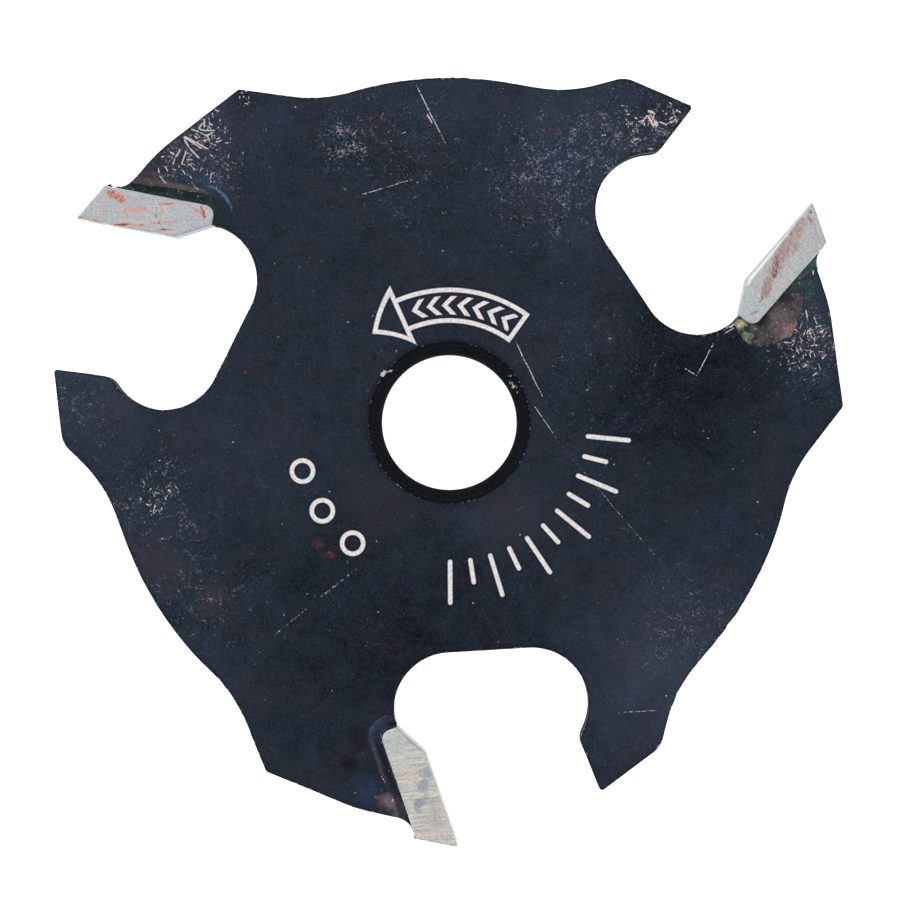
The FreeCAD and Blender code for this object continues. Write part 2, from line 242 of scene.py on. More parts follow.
# Scratches on the upper face, and three painted highlights on the braze ridge beside tip 3: from x, y to x,
# y, width, strength, and how warm their colour is
SCRATCHES_AND_HIGHLIGHTS = (
    (-1.6, 20.1, 0.2, 16.3, 0.08, 0.6, 0.6),
    (-0.9, 18.2, -0.6, 17.6, 0.1, 0.9, 0.8),
    (-5.3, 13.4, -1.6, 14.4, 0.07, 0.4, 0.8),
    (3.8, 5.1, 5.7, 1.0, 0.07, 0.6, 0.5),
    (4.0, 2.5, 6.4, -1.3, 0.06, 0.55, 0.4),
    (6.4, -1.3, 12.4, -8.7, 0.06, 0.25, 0.4),
    (13.9, 2.9, 14.6, 2.4, 0.07, 0.5, 0.7),
    (14.6, 2.4, 15.7, 4.4, 0.07, 0.6, 0.7),
    (9.5, -17.3, 12.1, -17.2, 0.07, 0.4, 0.5),
    (-11.0, -12.6, -8.2, -10.4, 0.1, 0.25, 0.3),
    (-8.2, -10.4, -5.4, -8.3, 0.14, 0.2, 0.2),
    (-15.2, 17.2, -13.8, 16.4, 0.1, 0.95, 0.8),
    (-15.3, 17.2, -14.1, 16.4, 0.1, 0.9, 0.9),
    (-15.2, 17.0, -14.9, 16.5, 0.12, 0.8, 0.8),
    (-14.9, 16.5, -14.3, 15.8, 0.1, 0.95, 0.7),
    (-15.1, 16.3, -15.4, 15.5, 0.1, 0.9, 0.6),
    (-15.4, 16.5, -15.8, 15.9, 0.12, 0.75, 0.8),
    (-15.8, 15.9, -15.9, 15.5, 0.1, 0.6, 0.7),
    (-16.1, 16.3, -15.8, 16.1, 0.1, 0.8, 0.9),
    (-16.6, 16.0, -16.4, 16.0, 0.11, 0.7, 1.0),
    (-16.8, 15.4, -16.7, 15.0, 0.1, 0.7, 1.0),
    (-16.7, 14.9, -16.3, 14.4, 0.08, 0.7, 0.6),
    (-16.4, 15.5, -16.2, 15.1, 0.07, 0.6, 0.9),
    (-15.1, 15.8, -14.7, 15.8, 0.08, 0.6, 0.8),
    (-15.6, 15.5, -15.5, 15.3, 0.09, 0.6, 0.5),
    (-14.8, 17.6, -14.3, 17.4, 0.1, 0.75, 0.6),
    (-14.2, 17.5, -13.4, 17.5, 0.09, 0.9, 0.5),
    (-14.3, 17.4, -13.8, 17.1, 0.09, 0.8, 0.7),
    (-14.0, 17.2, -13.4, 17.4, 0.08, 0.8, 0.5),
    (-14.0, 18.2, -14.0, 17.7, 0.12, 0.85, 0.7),
    (-14.1, 18.0, -14.3, 17.6, 0.09, 0.7, 0.7),
    (-13.9, 17.8, -13.6, 17.6, 0.08, 0.7, 0.5),
    (-13.8, 18.3, -13.7, 18.1, 0.07, 0.6, 0.6),
    (-14.6, 17.2, -14.4, 17.0, 0.11, 0.7, 1.0),
    (-13.4, 16.8, -13.0, 16.9, 0.09, 0.6, 0.7),
    (-13.0, 16.7, -12.3, 16.8, 0.09, 0.4, 0.5),
    (-13.7, 16.1, -13.5, 15.9, 0.09, 0.6, 0.3),
    (-13.4, 18.7, -13.1, 18.6, 0.08, 0.6, 0.7),
    (-13.7, 14.5, -13.7, 14.4, 0.12, 0.8, 0.0),
    (-13.5, 14.5, -13.5, 14.4, 0.1, 0.8, 0.1),
    (-11.9, 19.5, -11.9, 19.3, 0.09, 0.6, 0.9),
    (-11.7, 19.5, -11.6, 19.4, 0.1, 0.7, 0.8),
    (-11.4, 19.4, -11.3, 19.4, 0.1, 0.7, 0.9),
    (12.1, 18.1, 12.5, 17.9, 0.16, 0.9, 0.8),
    (12.1, 17.8, 12.4, 17.1, 0.16, 1.0, 0.8),
    (12.5, 17.5, 12.6, 17.1, 0.22, 1.0, 0.7),
    (12.4, 17.3, 12.6, 17.2, 0.22, 1.0, 0.7),
    (12.5, 17.9, 12.4, 17.6, 0.1, 0.8, 0.9),
    (12.7, 17.4, 13.2, 17.2, 0.12, 0.7, 0.6),
    (13.3, 17.5, 13.6, 17.7, 0.09, 0.7, 0.3),
    (13.3, 17.3, 13.6, 17.4, 0.09, 0.6, 0.5),
    (13.7, 18.1, 14.1, 17.9, 0.11, 0.6, 1.0),
    (11.3, 17.7, 11.5, 17.6, 0.1, 0.75, 0.9),
    (11.4, 17.4, 11.5, 16.7, 0.06, 0.45, 0.3),
    (11.1, 16.4, 11.5, 16.4, 0.09, 0.65, 0.8),
    (9.3, 16.7, 9.6, 16.7, 0.1, 0.6, 0.0),
    (21.1, 6.2, 21.2, 5.6, 0.09, 0.9, 0.6),
    (21.2, 5.6, 21.2, 4.4, 0.06, 0.45, 0.3),
    (20.9, 5.6, 20.7, 4.9, 0.05, 0.45, 0.2),
    (21.0, 6.0, 20.6, 5.4, 0.05, 0.35, 0.2),
    (21.9, 4.8, 22.1, 4.9, 0.11, 0.9, 0.9),
    (19.7, 4.3, 20.3, 4.2, 0.07, 0.7, 0.8),
    (21.1, 4.0, 22.1, 4.1, 0.09, 0.45, 0.8),
    (22.0, 3.3, 22.1, 3.3, 0.18, 0.7, 1.0),
    (20.2, 5.4, 20.3, 5.3, 0.12, 0.7, 0.0),
    (20.4, 5.0, 20.6, 5.0, 0.12, 0.7, 0.1),
    (21.6, 8.5, 21.6, 8.2, 0.1, 0.95, 0.9),
    (16.1, 5.0, 16.9, 5.4, 0.07, 0.6, 0.1),
    (16.2, 4.8, 16.9, 5.2, 0.08, 0.7, 0.9),
    (-18.3, -4.0, -18.2, -4.2, 0.1, 0.8, 0.3),
    (-18.0, -4.4, -17.7, -4.5, 0.1, 0.85, 0.5),
    (-17.4, -4.4, -17.5, -4.8, 0.1, 0.8, 0.4),
    (-16.6, -3.5, -16.5, -3.7, 0.14, 0.6, 0.8),
    (-17.1, -3.4, -17.2, -4.2, 0.1, 0.3, 0.1),
    (-17.1, -1.9, -17.1, -1.8, 0.1, 0.95, 0.4),
    # The next three are painted highlights on the braze ridge beside tip 3, drawn like scratches
    (-4.5, -20.7, -4.2, -21.2, 0.09, 0.36, 0.6),
    (-4.6, -18.4, -4.6, -18.7, 0.12, 0.42, 0.8),
    (-4.8, -19.1, -4.8, -19.2, 0.12, 0.42, 0.3),
    (-3.9, -22.0, -3.8, -22.2, 0.1, 0.6, 0.3),
)
# Where short scratches crowd together: x, y, spread, number, shortest, longest, strength, warmth
CROWDED = (
    (-14.2, 16.3, 1.5, 50, 0.15, 0.6, 0.5, 0.6),
    (-14.0, 17.6, 0.7, 16, 0.2, 0.6, 0.75, 0.7),
    (-12.9, 15.4, 1.1, 30, 0.15, 0.5, 0.35, 0.4),
    (-14.4, 14.9, 1.0, 18, 0.12, 0.4, 0.5, 0.2),
    (-11.6, 19.4, 0.4, 8, 0.1, 0.2, 0.6, 0.9),
    (12.3, 17.6, 0.45, 16, 0.2, 0.6, 0.8, 0.8),
    (11.6, 17.0, 1.0, 40, 0.12, 0.45, 0.45, 0.4),
    (13.6, 17.7, 0.5, 18, 0.15, 0.4, 0.6, 0.9),
    (21.4, 4.0, 1.1, 60, 0.12, 0.55, 0.55, 0.7),
    (20.5, 3.3, 1.0, 30, 0.12, 0.4, 0.35, 0.5),
    (-17.2, -4.0, 1.0, 40, 0.15, 0.5, 0.4, 0.5),
    (-2.4, 16.9, 0.6, 12, 0.1, 0.4, 0.35, 0.2),
)
# Faint scratches at random places: number, shortest and longest, on the upper and the lower face
STRAY_SCRATCHES = {1: (70, 0.3, 3.5), -1: (150, 0.5, 6.0)}

# The tips' finish: degrees from the rake face to the grinding lines, colours, stains and patches, and the
# painted light and shade of the ground strip and the painted highlight of the broken edge
TIP_LOOKS = {
    1: {
        "chroma": 0.2,
        "streaks": 0.5,
        "dirt": 0.3,
        "smear": (176, 146, 140),
        "rust": (104, 56, 54),
        "lines": 60.0,
        "colours": ((196, 201, 204), (205, 200, 194), (170, 178, 184)),
        "strip": (232, 238, 238, 0.8),
        "edge": (214, 228, 236, 0.5),
        "patches": ((6.5, 1.2, 1.4, (190, 200, 208), 0.6), (2.0, 1.6, 1.0, (180, 186, 196), 0.5)),
        "stains": (
            ((1.4, 0.3), (2.9, 0.6), 0.8, 0.4),
            ((2.9, 0.5), (4.0, 0.7), 0.8, 0.5),
            ((2.6, 0.9), (4.0, 0.8), 0.7, 0.35),
            ((3.9, 0.6), (4.8, 1.1), 0.45, 0.7),
            ((4.0, 0.9), (4.6, 0.9), 0.7, 0.45),
            ((5.2, 1.1), (5.9, 1.4), 0.6, 0.55),
            ((5.9, 1.4), (6.5, 1.5), 0.22, 1.0),
            ((0.5, 0.3), (0.6, 0.35), 0.2, 1.0),
            ((0.9, 0.4), (1.0, 0.8), 0.3, 0.6),
            ((6.85, 0.5), (6.9, 0.6), 0.18, 0.9),
            ((7.1, 1.7), (7.4, 1.6), 0.25, 0.6),
        ),
    },
    2: {
        "lines": 8.0,
        "chroma": 0.28,
        "streaks": 0.6,
        "dirt": 0.4,
        "smear": (216, 156, 142),
        "rust": (150, 62, 52),
        "colours": ((186, 194, 200), (194, 196, 196), (166, 176, 184)),
        "strip": (176, 184, 188, 0.3),
        "edge": (214, 220, 222, 0.4),
        "patches": ((6.5, 1.4, 1.2, (180, 188, 204), 0.5), (1.6, 0.9, 1.0, (176, 182, 182), 0.5)),
        "stains": (
            ((1.7, 1.8), (2.4, 1.6), 0.55, 0.65),
            ((2.9, 1.65), (3.8, 1.85), 0.17, 0.7),
            ((4.7, 1.75), (5.4, 1.9), 0.20, 0.8),
            ((4.5, 1.5), (4.6, 0.9), 0.16, 0.8),
            ((4.8, 1.6), (4.9, 1.0), 0.16, 0.7),
            ((2.7, 1.0), (3.0, 0.6), 0.18, 0.7),
            ((3.0, 0.6), (3.3, 0.9), 0.18, 0.7),
            ((2.3, 0.05), (3.9, 0.35), 0.20, 1.0),
            ((3.9, 0.35), (5.8, 0.9), 0.17, 1.0),
            ((3.2, 0.4), (5.0, 0.85), 0.14, 0.8),
            ((6.3, 2.0), (7.2, 1.65), 0.18, 1.0),
            ((7.1, 2.0), (7.4, 1.5), 0.25, 0.9),
            ((6.4, 1.1), (7.0, 1.6), 0.16, 0.9),
            ((6.9, 1.2), (7.3, 1.6), 0.16, 0.8),
            ((2.7, 1.0), (3.8, 1.2), 0.5, 0.3),
            ((0.2, 0.1), (1.7, 0.0), 0.2, 0.7),
            ((4.8, 0.25), (5.6, 0.35), 0.2, 1.0),
        ),
    },
    3: {
        "lines": 75.0,
        "chroma": 0.1,
        "streaks": 1.0,
        "dirt": 0.1,
        "smear": (170, 160, 150),
        "rust": (120, 100, 96),
        "colours": ((214, 212, 204), (228, 214, 202), (178, 186, 186)),
        "strip": (158, 166, 160, 0.7),
        "edge": (244, 244, 240, 0.7),
        "patches": (
            (4.7, 0.4, 0.5, (156, 166, 176), 1.0),
            (4.1, 0.8, 0.45, (156, 166, 176), 1.0),
            (3.2, 1.3, 0.42, (144, 156, 166), 1.0),
            (3.1, 0.6, 0.34, (170, 176, 166), 0.9),
            (2.0, 0.7, 0.42, (142, 156, 166), 1.0),
            (1.6, 0.7, 0.9, (218, 200, 188), 0.6),
            (5.0, 1.1, 0.6, (216, 200, 184), 0.5),
            (6.8, 1.5, 0.9, (184, 194, 192), 0.6),
        ),
        "stains": (((0.9, 1.1), (0.95, 1.15), 0.12, 0.8), ((5.6, 0.8), (5.7, 0.8), 0.12, 0.5)),
    },
}

# How far noise bends the stains' strokes, in mm
STAIN_BEND = 0.16

# The braze's finish, with one painted highlight on tip 1's braze
BRAZE_LOOKS = {
    1: {
        "colours": ((34, 38, 42), (84, 76, 80)),
        "patches": (
            (2.8, 2.6, 0.8, (52, 86, 86), 0.9),
            (4.1, 2.6, 0.5, (46, 70, 70), 0.7),
            (6.6, 3.3, 1.2, (104, 90, 92), 0.8),
            # A painted highlight at the outer edge of the brown patch
            (6.6, 4.1, 0.6, (156, 116, 112), 0.6),
            (7.2, 2.3, 0.5, (26, 28, 30), 0.9),
            (5.4, 2.3, 0.5, (28, 36, 36), 0.9),
            (8.3, 1.5, 0.4, (206, 200, 160), 0.9),
            (8.6, 2.3, 0.3, (120, 142, 112), 0.7),
        ),
        "fleck": (110, 176, 170),
    },
    2: {
        "colours": ((26, 34, 38), (44, 56, 58)),
        "patches": ((7.9, 2.2, 0.7, (42, 54, 56), 0.7), (1.6, 2.4, 0.5, (20, 22, 26), 0.8)),
        "fleck": (96, 176, 172),
    },
    3: {
        "colours": ((26, 30, 42), (40, 44, 58)),
        "patches": ((8.0, 2.2, 0.7, (44, 56, 80), 0.8), (3.4, 2.7, 0.7, (96, 86, 90), 0.4)),
        "fleck": (120, 128, 148),
    },
}

# The floor's own glow and the sky's strengths, the lights' powers in watts, and the photo's view in mm
FLOOR_GLOW = 1.1
SKY_HORIZON = 0.45
SKY_OVERHEAD = 0.9
KEY_POWER = 0.35
FILL_POWER = 0.12
VIEW_CENTRE = (0.003, -1.62)
VIEW_DISTANCE = 400.0
VIEW_WIDTH = 52.94
VIEW_TURN = 1.3


# ---------------------------------------------------------------- outlines read from the CAD model

def section_loops(node):
    """The closed outlines in which the plane z = 0 cuts a CAD node, in mm, anticlockwise, corners only."""
    work = bmesh.new()
    work.from_mesh(frame["nodes"][node].data)
    bmesh.ops.remove_doubles(work, verts=work.verts, dist=0.001 * MM)
    everything = work.verts[:] + work.edges[:] + work.faces[:]
    plane = {"plane_co": (0, 0, 0), "plane_no": (0, 0, 1)}
    cut = bmesh.ops.bisect_plane(work, geom=everything, clear_inner=True, **plane)
    left = {item for item in cut["geom_cut"] if isinstance(item, bmesh.types.BMEdge)}
    loops = []
    while left:
        edge = left.pop()
        start, vertex = edge.verts
        loop = [start.co.xy / MM]
        while vertex is not start:
            loop.append(vertex.co.xy / MM)
            edge = next(e for e in vertex.link_edges if e in left)
            left.remove(edge)
            vertex = edge.other_vert(vertex)
        loops.append(corners_only(np.array(loop)))
    work.free()
    return sorted(loops, key=lambda loop: -abs(signed_area(loop)))


def signed_area(loop):
    """The area inside a closed outline, positive if it runs anticlockwise."""
    following = np.roll(loop, -1, axis=0)
    return 0.5 * np.sum(loop[:, 0] * following[:, 1] - loop[:, 1] * following[:, 0])


def corners_only(loop):
    """An outline without the points that lie in line with their neighbours, turned anticlockwise."""
    if signed_area(loop) < 0:
        loop = loop[::-1]
    turn = turns(loop)[2]
    return loop[np.abs(turn) > math.radians(0.2)]


def turns(loop):
    """The direction of the run into each corner, of the run out of it, and the turn between them."""
    run_in = loop - np.roll(loop, 1, axis=0)
    run_out = np.roll(loop, -1, axis=0) - loop
    angle_in = np.arctan2(run_in[:, 1], run_in[:, 0])
    angle_out = np.arctan2(run_out[:, 1], run_out[:, 0])
    turn = (angle_out - angle_in + math.pi) % (2 * math.pi) - math.pi
    return angle_in, angle_out, turn


def followed(corners, step, sharp_degrees):
    """Points about every step mm along a closed outline, curved where it is round, and each point's run."""
    count = len(corners)
    angle_in, angle_out, turn = turns(corners)
    run = np.roll(corners, -1, axis=0) - corners
    length_out = np.linalg.norm(run, axis=1)
    length_in = np.roll(length_out, 1)
    share = length_in / (length_in + length_out)
    share[length_in > 3 * length_out] = 0.0
    share[length_out > 3 * length_in] = 1.0
    tangent = angle_in + turn * share
    sharp = np.abs(turn) > math.radians(sharp_degrees)
    points, runs = [], []
    for i in range(count):
        j = (i + 1) % count
        chord = angle_out[i]
        leave = chord if sharp[i] else tangent[i]
        arrive = chord if sharp[j] else tangent[j]
        if sharp[i] and not sharp[j]:
            leave = 2 * chord - arrive
        if sharp[j] and not sharp[i]:
            arrive = 2 * chord - leave
        start_pull = length_out[i] * np.array((math.cos(leave), math.sin(leave)))
        end_pull = length_out[i] * np.array((math.cos(arrive), math.sin(arrive)))
        pieces = max(1, math.ceil(length_out[i] / step))
        for t in np.arange(pieces) / pieces:
            here = (2 * t**3 - 3 * t**2 + 1) * corners[i] + (3 * t**2 - 2 * t**3) * corners[j]
            pulled = (t**3 - 2 * t**2 + t) * start_pull + (t**3 - t**2) * end_pull
            points.append(here + pulled)
            runs.append(i)
    return np.array(points), np.array(runs)


def outward(points):
    """The direction in which each point of an anticlockwise outline moves as the outline grows by 1 mm."""
    run = np.roll(points, -1, axis=0) - points
    normal = np.stack((run[:, 1], -run[:, 0]), axis=1) / np.linalg.norm(run, axis=1)[:, None]
    before = np.roll(normal, 1, axis=0)
    mitre = (before + normal) / (1 + np.sum(before * normal, axis=1))[:, None]
    size = np.linalg.norm(mitre, axis=1)[:, None]
    return mitre * np.minimum(1, 1.8 / size)


def inside(points, loop):
    """Which points lie inside a closed outline."""
    result = np.zeros(len(points), bool)
    for a, b in zip(loop, np.roll(loop, -1, axis=0)):
        spans = (a[1] > points[:, 1]) != (b[1] > points[:, 1])
        crossing = a[0] + (points[:, 1] - a[1]) * (b[0] - a[0]) / (b[1] - a[1] or 1)
        result ^= spans & (points[:, 0] < crossing)
    return result


def distance_to(points, loop):
    """How far each point is from a closed outline, in mm."""
    nearest = np.full(len(points), np.inf)
    for a, b in zip(loop, np.roll(loop, -1, axis=0)):
        run = b - a
        along = np.clip((points - a) @ run / (run @ run), 0, 1)
        gap = np.linalg.norm(points - a - along[:, None] * run, axis=1)
        nearest = np.minimum(nearest, gap)
    return nearest


def smooth_step(value, low, high):
    """0 below low, 1 above high and a smooth rise between."""
    t = np.clip((value - low) / (high - low), 0, 1)
    return t * t * (3 - 2 * t)


def wander(points, pitch, seed):
    """Smooth noise from about -1 to 1 at each point, with the given distance between its hills."""
    shift = Vector((17.3 * seed, -9.1 * seed, 5.7 * seed))
    return np.array([noise.noise(Vector((*p, 0.0)[:3]) / pitch + shift) for p in points])


# ---------------------------------------------------------------- meshes

class Shell:
    """A closed mesh in the making: vertices in mm, faces, and named numbers that its material reads."""

    def __init__(self, *channels):
        self.points = []
        self.faces = []
        self.channels = {name: [] for name in channels}

    def add(self, points, **values):
        """Adds vertices and returns their numbers."""
        first = len(self.points)
        self.points.extend(tuple(p) for p in points)
        for name, column in self.channels.items():
            column.extend(np.broadcast_to(values.get(name, 0.0), len(points)))
        return list(range(first, len(self.points)))

    def bridge(self, upper, lower, closed=True):
        """Joins two rings of as many vertices with quads that face out of the anticlockwise upper ring."""
        last = len(upper) if closed else len(upper) - 1
        for i in range(last):
            j = (i + 1) % len(upper)
            self.faces.append((upper[i], lower[i], lower[j], upper[j]))

    def stack(self, rings, inward=False):
        """Joins each ring to the next one down."""
        for upper, lower in zip(rings, rings[1:]):
            if inward:
                self.bridge(lower, upper)
            else:
                self.bridge(upper, lower)

    def fill(self, loops, extra, up):
        """Covers the flat space inside the first ring and outside the others, through the extra vertices."""
        numbers = [n for loop in loops for n in loop] + list(extra)
        flat = [Vector(self.points[n][:2]) for n in numbers]
        edges, first = [], 0
        for loop in loops:
            size = len(loop)
            edges += [(first + i, first + (i + 1) % size) for i in range(size)]
            first += size
        made, _, triangles, origins, _, _ = geometry.delaunay_2d_cdt(flat, edges, [], 0, 1e-5)
        centres = np.array([sum((made[v] for v in t), Vector((0, 0))) / 3 for t in triangles])
        kept = inside(centres, np.array([self.points[n][:2] for n in loops[0]]))
        for loop in loops[1:]:
            kept &= ~inside(centres, np.array([self.points[n][:2] for n in loop]))
        for triangle, keep in zip(triangles, kept):
            if keep:
                face = tuple(numbers[origins[v][0]] for v in triangle)
                self.faces.append(face if up else face[::-1])

    def piece(self, name, material, node):
        """Makes the object, which stands for a CAD node and rides on its body."""
        mesh = bpy.data.meshes.new(name)
        used = sorted({n for face in self.faces for n in face})
        number = {n: i for i, n in enumerate(used)}
        faces = [tuple(number[n] for n in face) for face in self.faces]
        mesh.from_pydata((np.array(self.points)[used] * MM).tolist(), [], faces)
        for channel, column in self.channels.items():
            attribute = mesh.attributes.new(channel, "FLOAT", "POINT")
            attribute.data.foreach_set("value", np.array(column, np.float32)[used])
        mesh.materials.append(material)
        mesh.shade_smooth()
        mesh.validate()
        made = bpy.data.objects.new(name, mesh)
        bpy.context.scene.collection.objects.link(made)
        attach(made, "root")
        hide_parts(node)
        return made


class Rim:
    """A closed outline whose edge is broken on both faces, by a width that varies."""

    def __init__(self, points, profile, growth):
        self.points = points
        self.out = outward(points)
        self.inset, self.drop, self.shine = np.transpose(profile)
        self.growth = growth
        self.tree = kdtree.KDTree(len(points))
        for i, p in enumerate(points):
            self.tree.insert((*p, 0.0), i)
        self.tree.balance()

    def depth(self, points):
        """The number of the nearest outline point to each point, and how far inside the outline it lies."""
        nearest = np.array([self.tree.find((*p, 0.0))[1] for p in points])
        count = len(self.points)
        away = np.full(len(points), np.inf)
        for first in (nearest - 1, nearest):
            a = self.points[first % count]
            run = self.points[(first + 1) % count] - a
            share = np.sum((points - a) * run, axis=1) / np.sum(run * run, axis=1)
            foot = a + np.clip(share, 0, 1)[:, None] * run
            away = np.minimum(away, np.linalg.norm(points - foot, axis=1))
        return nearest, away

    def band(self, side):
        """Points on the broken edge inside the outline, left out where two runs' bands meet in a corner."""
        kept = []
        for inset in self.inset[1:]:
            reach = inset * self.growth[side]
            points = self.points - self.out * reach[:, None]
            kept.append(points[self.depth(points)[1] > 0.93 * reach])
        return np.concatenate(kept)


def flat_piece(shell, rim, plan, height, mark, rows, holes):
    """Builds a flat piece: its side, its broken edges and both faces, round any holes made before."""
    edge = {}
    for side in (1, -1):
        level = height(rim.points, side) - rim.drop[0] * rim.growth[side]
        points = np.column_stack((rim.points, side * level))
        edge[side] = shell.add(points, rim=rim.shine[0], **mark(rim.points, 0))
    top, bottom = (np.array([shell.points[n] for n in edge[side]]) for side in (1, -1))
    rings = [edge[1]]
    for share in np.arange(1, rows + 1) / (rows + 1):
        rings.append(shell.add(top + (bottom - top) * share, wall=1.0, **mark(rim.points, 0)))
    shell.stack([*rings, edge[-1]])
    for side in (1, -1):
        points = np.concatenate((plan[side], rim.band(side)))
        nearest, away = rim.depth(points)
        scale = rim.growth[side][nearest]
        level = height(points, side) - np.interp(away / scale, rim.inset, rim.drop) * scale
        shine = np.interp(away / scale, rim.inset, rim.shine)
        extra = shell.add(np.column_stack((points, side * level)), rim=shine, **mark(points, side))
        shell.fill([edge[side], *holes[side]], extra, side > 0)


def edge_growth(points, seed, nicks):
    """How much wider than usual the broken edge is at each point, with nicks at random places."""
    growth = 1 + 0.3 * wander(points, 1.1, seed)
    chance = np.random.default_rng(seed)
    count = len(points)
    for _ in range(nicks):
        middle = chance.integers(count)
        spread = chance.uniform(0.8, 2.2)
        size = chance.uniform(0.3, 1.1)
        away = np.abs((np.arange(count) - middle + count // 2) % count - count // 2)
        growth += size * np.exp(-((away / spread) ** 2))
    return growth


def grid_points(low, high, step):
    """The points of a triangular grid over the rectangle between two corners."""
    grid = []
    for i, y in enumerate(np.arange(low[1], high[1], step * math.sqrt(3) / 2)):
        x = np.arange(low[0], high[0], step) + (i % 2) * step / 2
        grid.append(np.column_stack((x, np.full(len(x), y))))
    return np.concatenate(grid)


# ---------------------------------------------------------------- the steel body

TIP_CORNERS = {wing: section_loops(f"carbide_tip_{wing}")[0] for wing in WINGS}


def tip_gap(points):
    """How far each point is from the nearest tip, in mm."""
    return np.min([distance_to(points, TIP_CORNERS[wing]) for wing in WINGS], axis=0)


def body_height(points, side):
    """The height of the body's face: a little uneven, and lower where a seat is relieved."""
    half = RELIEF_STEP_WIDTH / 2
    sunk = np.zeros(len(points))
    for wing in WINGS:
        width = SEAT_RELIEF_WIDTHS[wing]
        sunk += 1 - smooth_step(distance_to(points, TIP_CORNERS[wing]), width - half, width + half)
    return FACE - UNEVENNESS + UNEVENNESS * wander(points, 2.5, 20 + side) - SEAT_RELIEF_DEPTH * sunk


def bent(points):
    """Points moved a little, so that lines measured there aren't quite straight."""
    return points + 0.03 * np.column_stack((wander(points, 0.7, 61), wander(points, 0.7, 62)))


def scratch_and_highlight_field(points, scratches):
    """How strongly each point is marked by the scratches, and by the painted highlights drawn like them, and
    how warm the colour is there.
    """
    strength, warmth = np.zeros(len(points)), np.zeros(len(points))
    points = bent(points)
    for x0, y0, x1, y1, width, depth, warm in scratches:
        run = np.array((x1 - x0, y1 - y0))
        from_start = points - (x0, y0)
        share = np.clip(from_start @ run / (run @ run), 0, 1)
        away = np.linalg.norm(from_start - share[:, None] * run, axis=1)
        away /= width * (1 - 0.5 * (2 * share - 1) ** 2)
        value = depth * (1 - smooth_step(away, 0.25, 0.55))
        warmth = np.where(value > strength, warm, warmth)
        strength = np.maximum(strength, value)
    return strength, warmth


def scratch_rows(scratches):
    """Points along the core and the borders of each scratch, so that the mesh can carry it."""
    rows = []
    for x0, y0, x1, y1, width, _, _ in scratches:
        run = np.array((x1 - x0, y1 - y0))
        length = np.linalg.norm(run)
        way = run / length
        beside = np.array((-way[1], way[0])) * width
        count = math.ceil(length / max(0.06, 0.5 * width))
        centre = np.array((x0, y0)) + np.linspace(0, 1, count + 1)[:, None] * run
        rows += [centre + offset * beside for offset in (-0.55, -0.25, 0.25, 0.55)]
        rows.append(centre[[0, -1]] + 0.55 * width * np.array((-way, way)))
    rows = np.concatenate(rows)
    return 2 * rows - bent(rows)


def stray_scratches(side):
    """Faint scratches at random places and angles on one face."""
    count, shortest, longest = STRAY_SCRATCHES[side]
    chance = np.random.default_rng(5 + side)
    found = []
    for _ in range(count):
        radius = 24 * math.sqrt(chance.uniform(0.05, 1))
        bearing = chance.uniform(0, 2 * math.pi)
        way = chance.uniform(0, 2 * math.pi)
        length = shortest + (longest - shortest) * chance.uniform() ** 3
        x, y = radius * math.cos(bearing), radius * math.sin(bearing)
        end = (x + length * math.cos(way), y + length * math.sin(way))
        found.append((x, y, *end, chance.uniform(0.05, 0.08), chance.uniform(0.04, 0.18), chance.uniform()))
    return found


def crowded_scratches():
    """Short scratches at every angle, thickest in the middle of the places where they crowd together."""
    chance = np.random.default_rng(8)
    found = []
    for x, y, spread, count, shortest, longest, strength, warmth in CROWDED:
        for _ in range(count):
            x0, y0 = chance.normal((x, y), spread / 1.6)
            way = chance.uniform(0, 2 * math.pi)
            length = chance.uniform(shortest, longest)
            end = (x0 + length * math.cos(way), y0 + length * math.sin(way))
            width = chance.uniform(0.05, 0.1)
            depth = strength * chance.uniform(0.3, 1.2)
            found.append((x0, y0, *end, width, min(depth, 1), min(1, max(0, chance.normal(warmth, 0.25)))))
    return found


ALL_SCRATCHES_AND_HIGHLIGHTS = {1: [*SCRATCHES_AND_HIGHLIGHTS, *crowded_scratches(), *stray_scratches(1)], -1: stray_scratches(-1)}


def patch_sum(points, patches):
    """The sum of soft round patches, (x, y, radius, value) each, at every point."""
    total = np.zeros(len(points))
    for x, y, radius, value in patches:
        away = np.linalg.norm(points - (x, y), axis=1) + 0.35 * radius * wander(points, 0.4 * radius, 9)
        total += value * (1 - smooth_step(away, 0.2 * radius, 1.35 * radius))
    return total


def body_marks(points, side):
    """What the body's material reads at each point."""
    marks = {"tip_gap": tip_gap(points)}
    if side:
        marks["scratch"], marks["warmth"] = scratch_and_highlight_field(points, ALL_SCRATCHES_AND_HIGHLIGHTS[side])
        # tone carries the patches of painted light and shade
        marks["tone"] = patch_sum(points, LIGHT_AND_SHADE_PATCHES)
        marks["haze"] = patch_sum(points, HAZE)
    return marks


def roughened(outline, out):
    """The body's outline with the slight wander of a milled edge, and the ragged stretches of its rim."""
    angle = np.degrees(np.arctan2(outline[:, 1], outline[:, 0]))
    ragged = np.zeros(len(outline))
    for middle, spread in RAGGED_RIMS:
        ragged = np.maximum(ragged, np.exp(-(((angle - middle) / spread) ** 2)))
    ragged *= smooth_step(np.linalg.norm(outline, axis=1), 17.5, 19.0)
    bite = np.minimum(wander(outline, 0.55, 3) + 0.5 * wander(outline, 0.22, 4), 0.15)
    move = WALL_WANDER * wander(outline, 1.3, 1) + RAGGED_WANDER * ragged * bite
    return outline + out * (move * smooth_step(tip_gap(outline), 0.3, 1.5))[:, None]


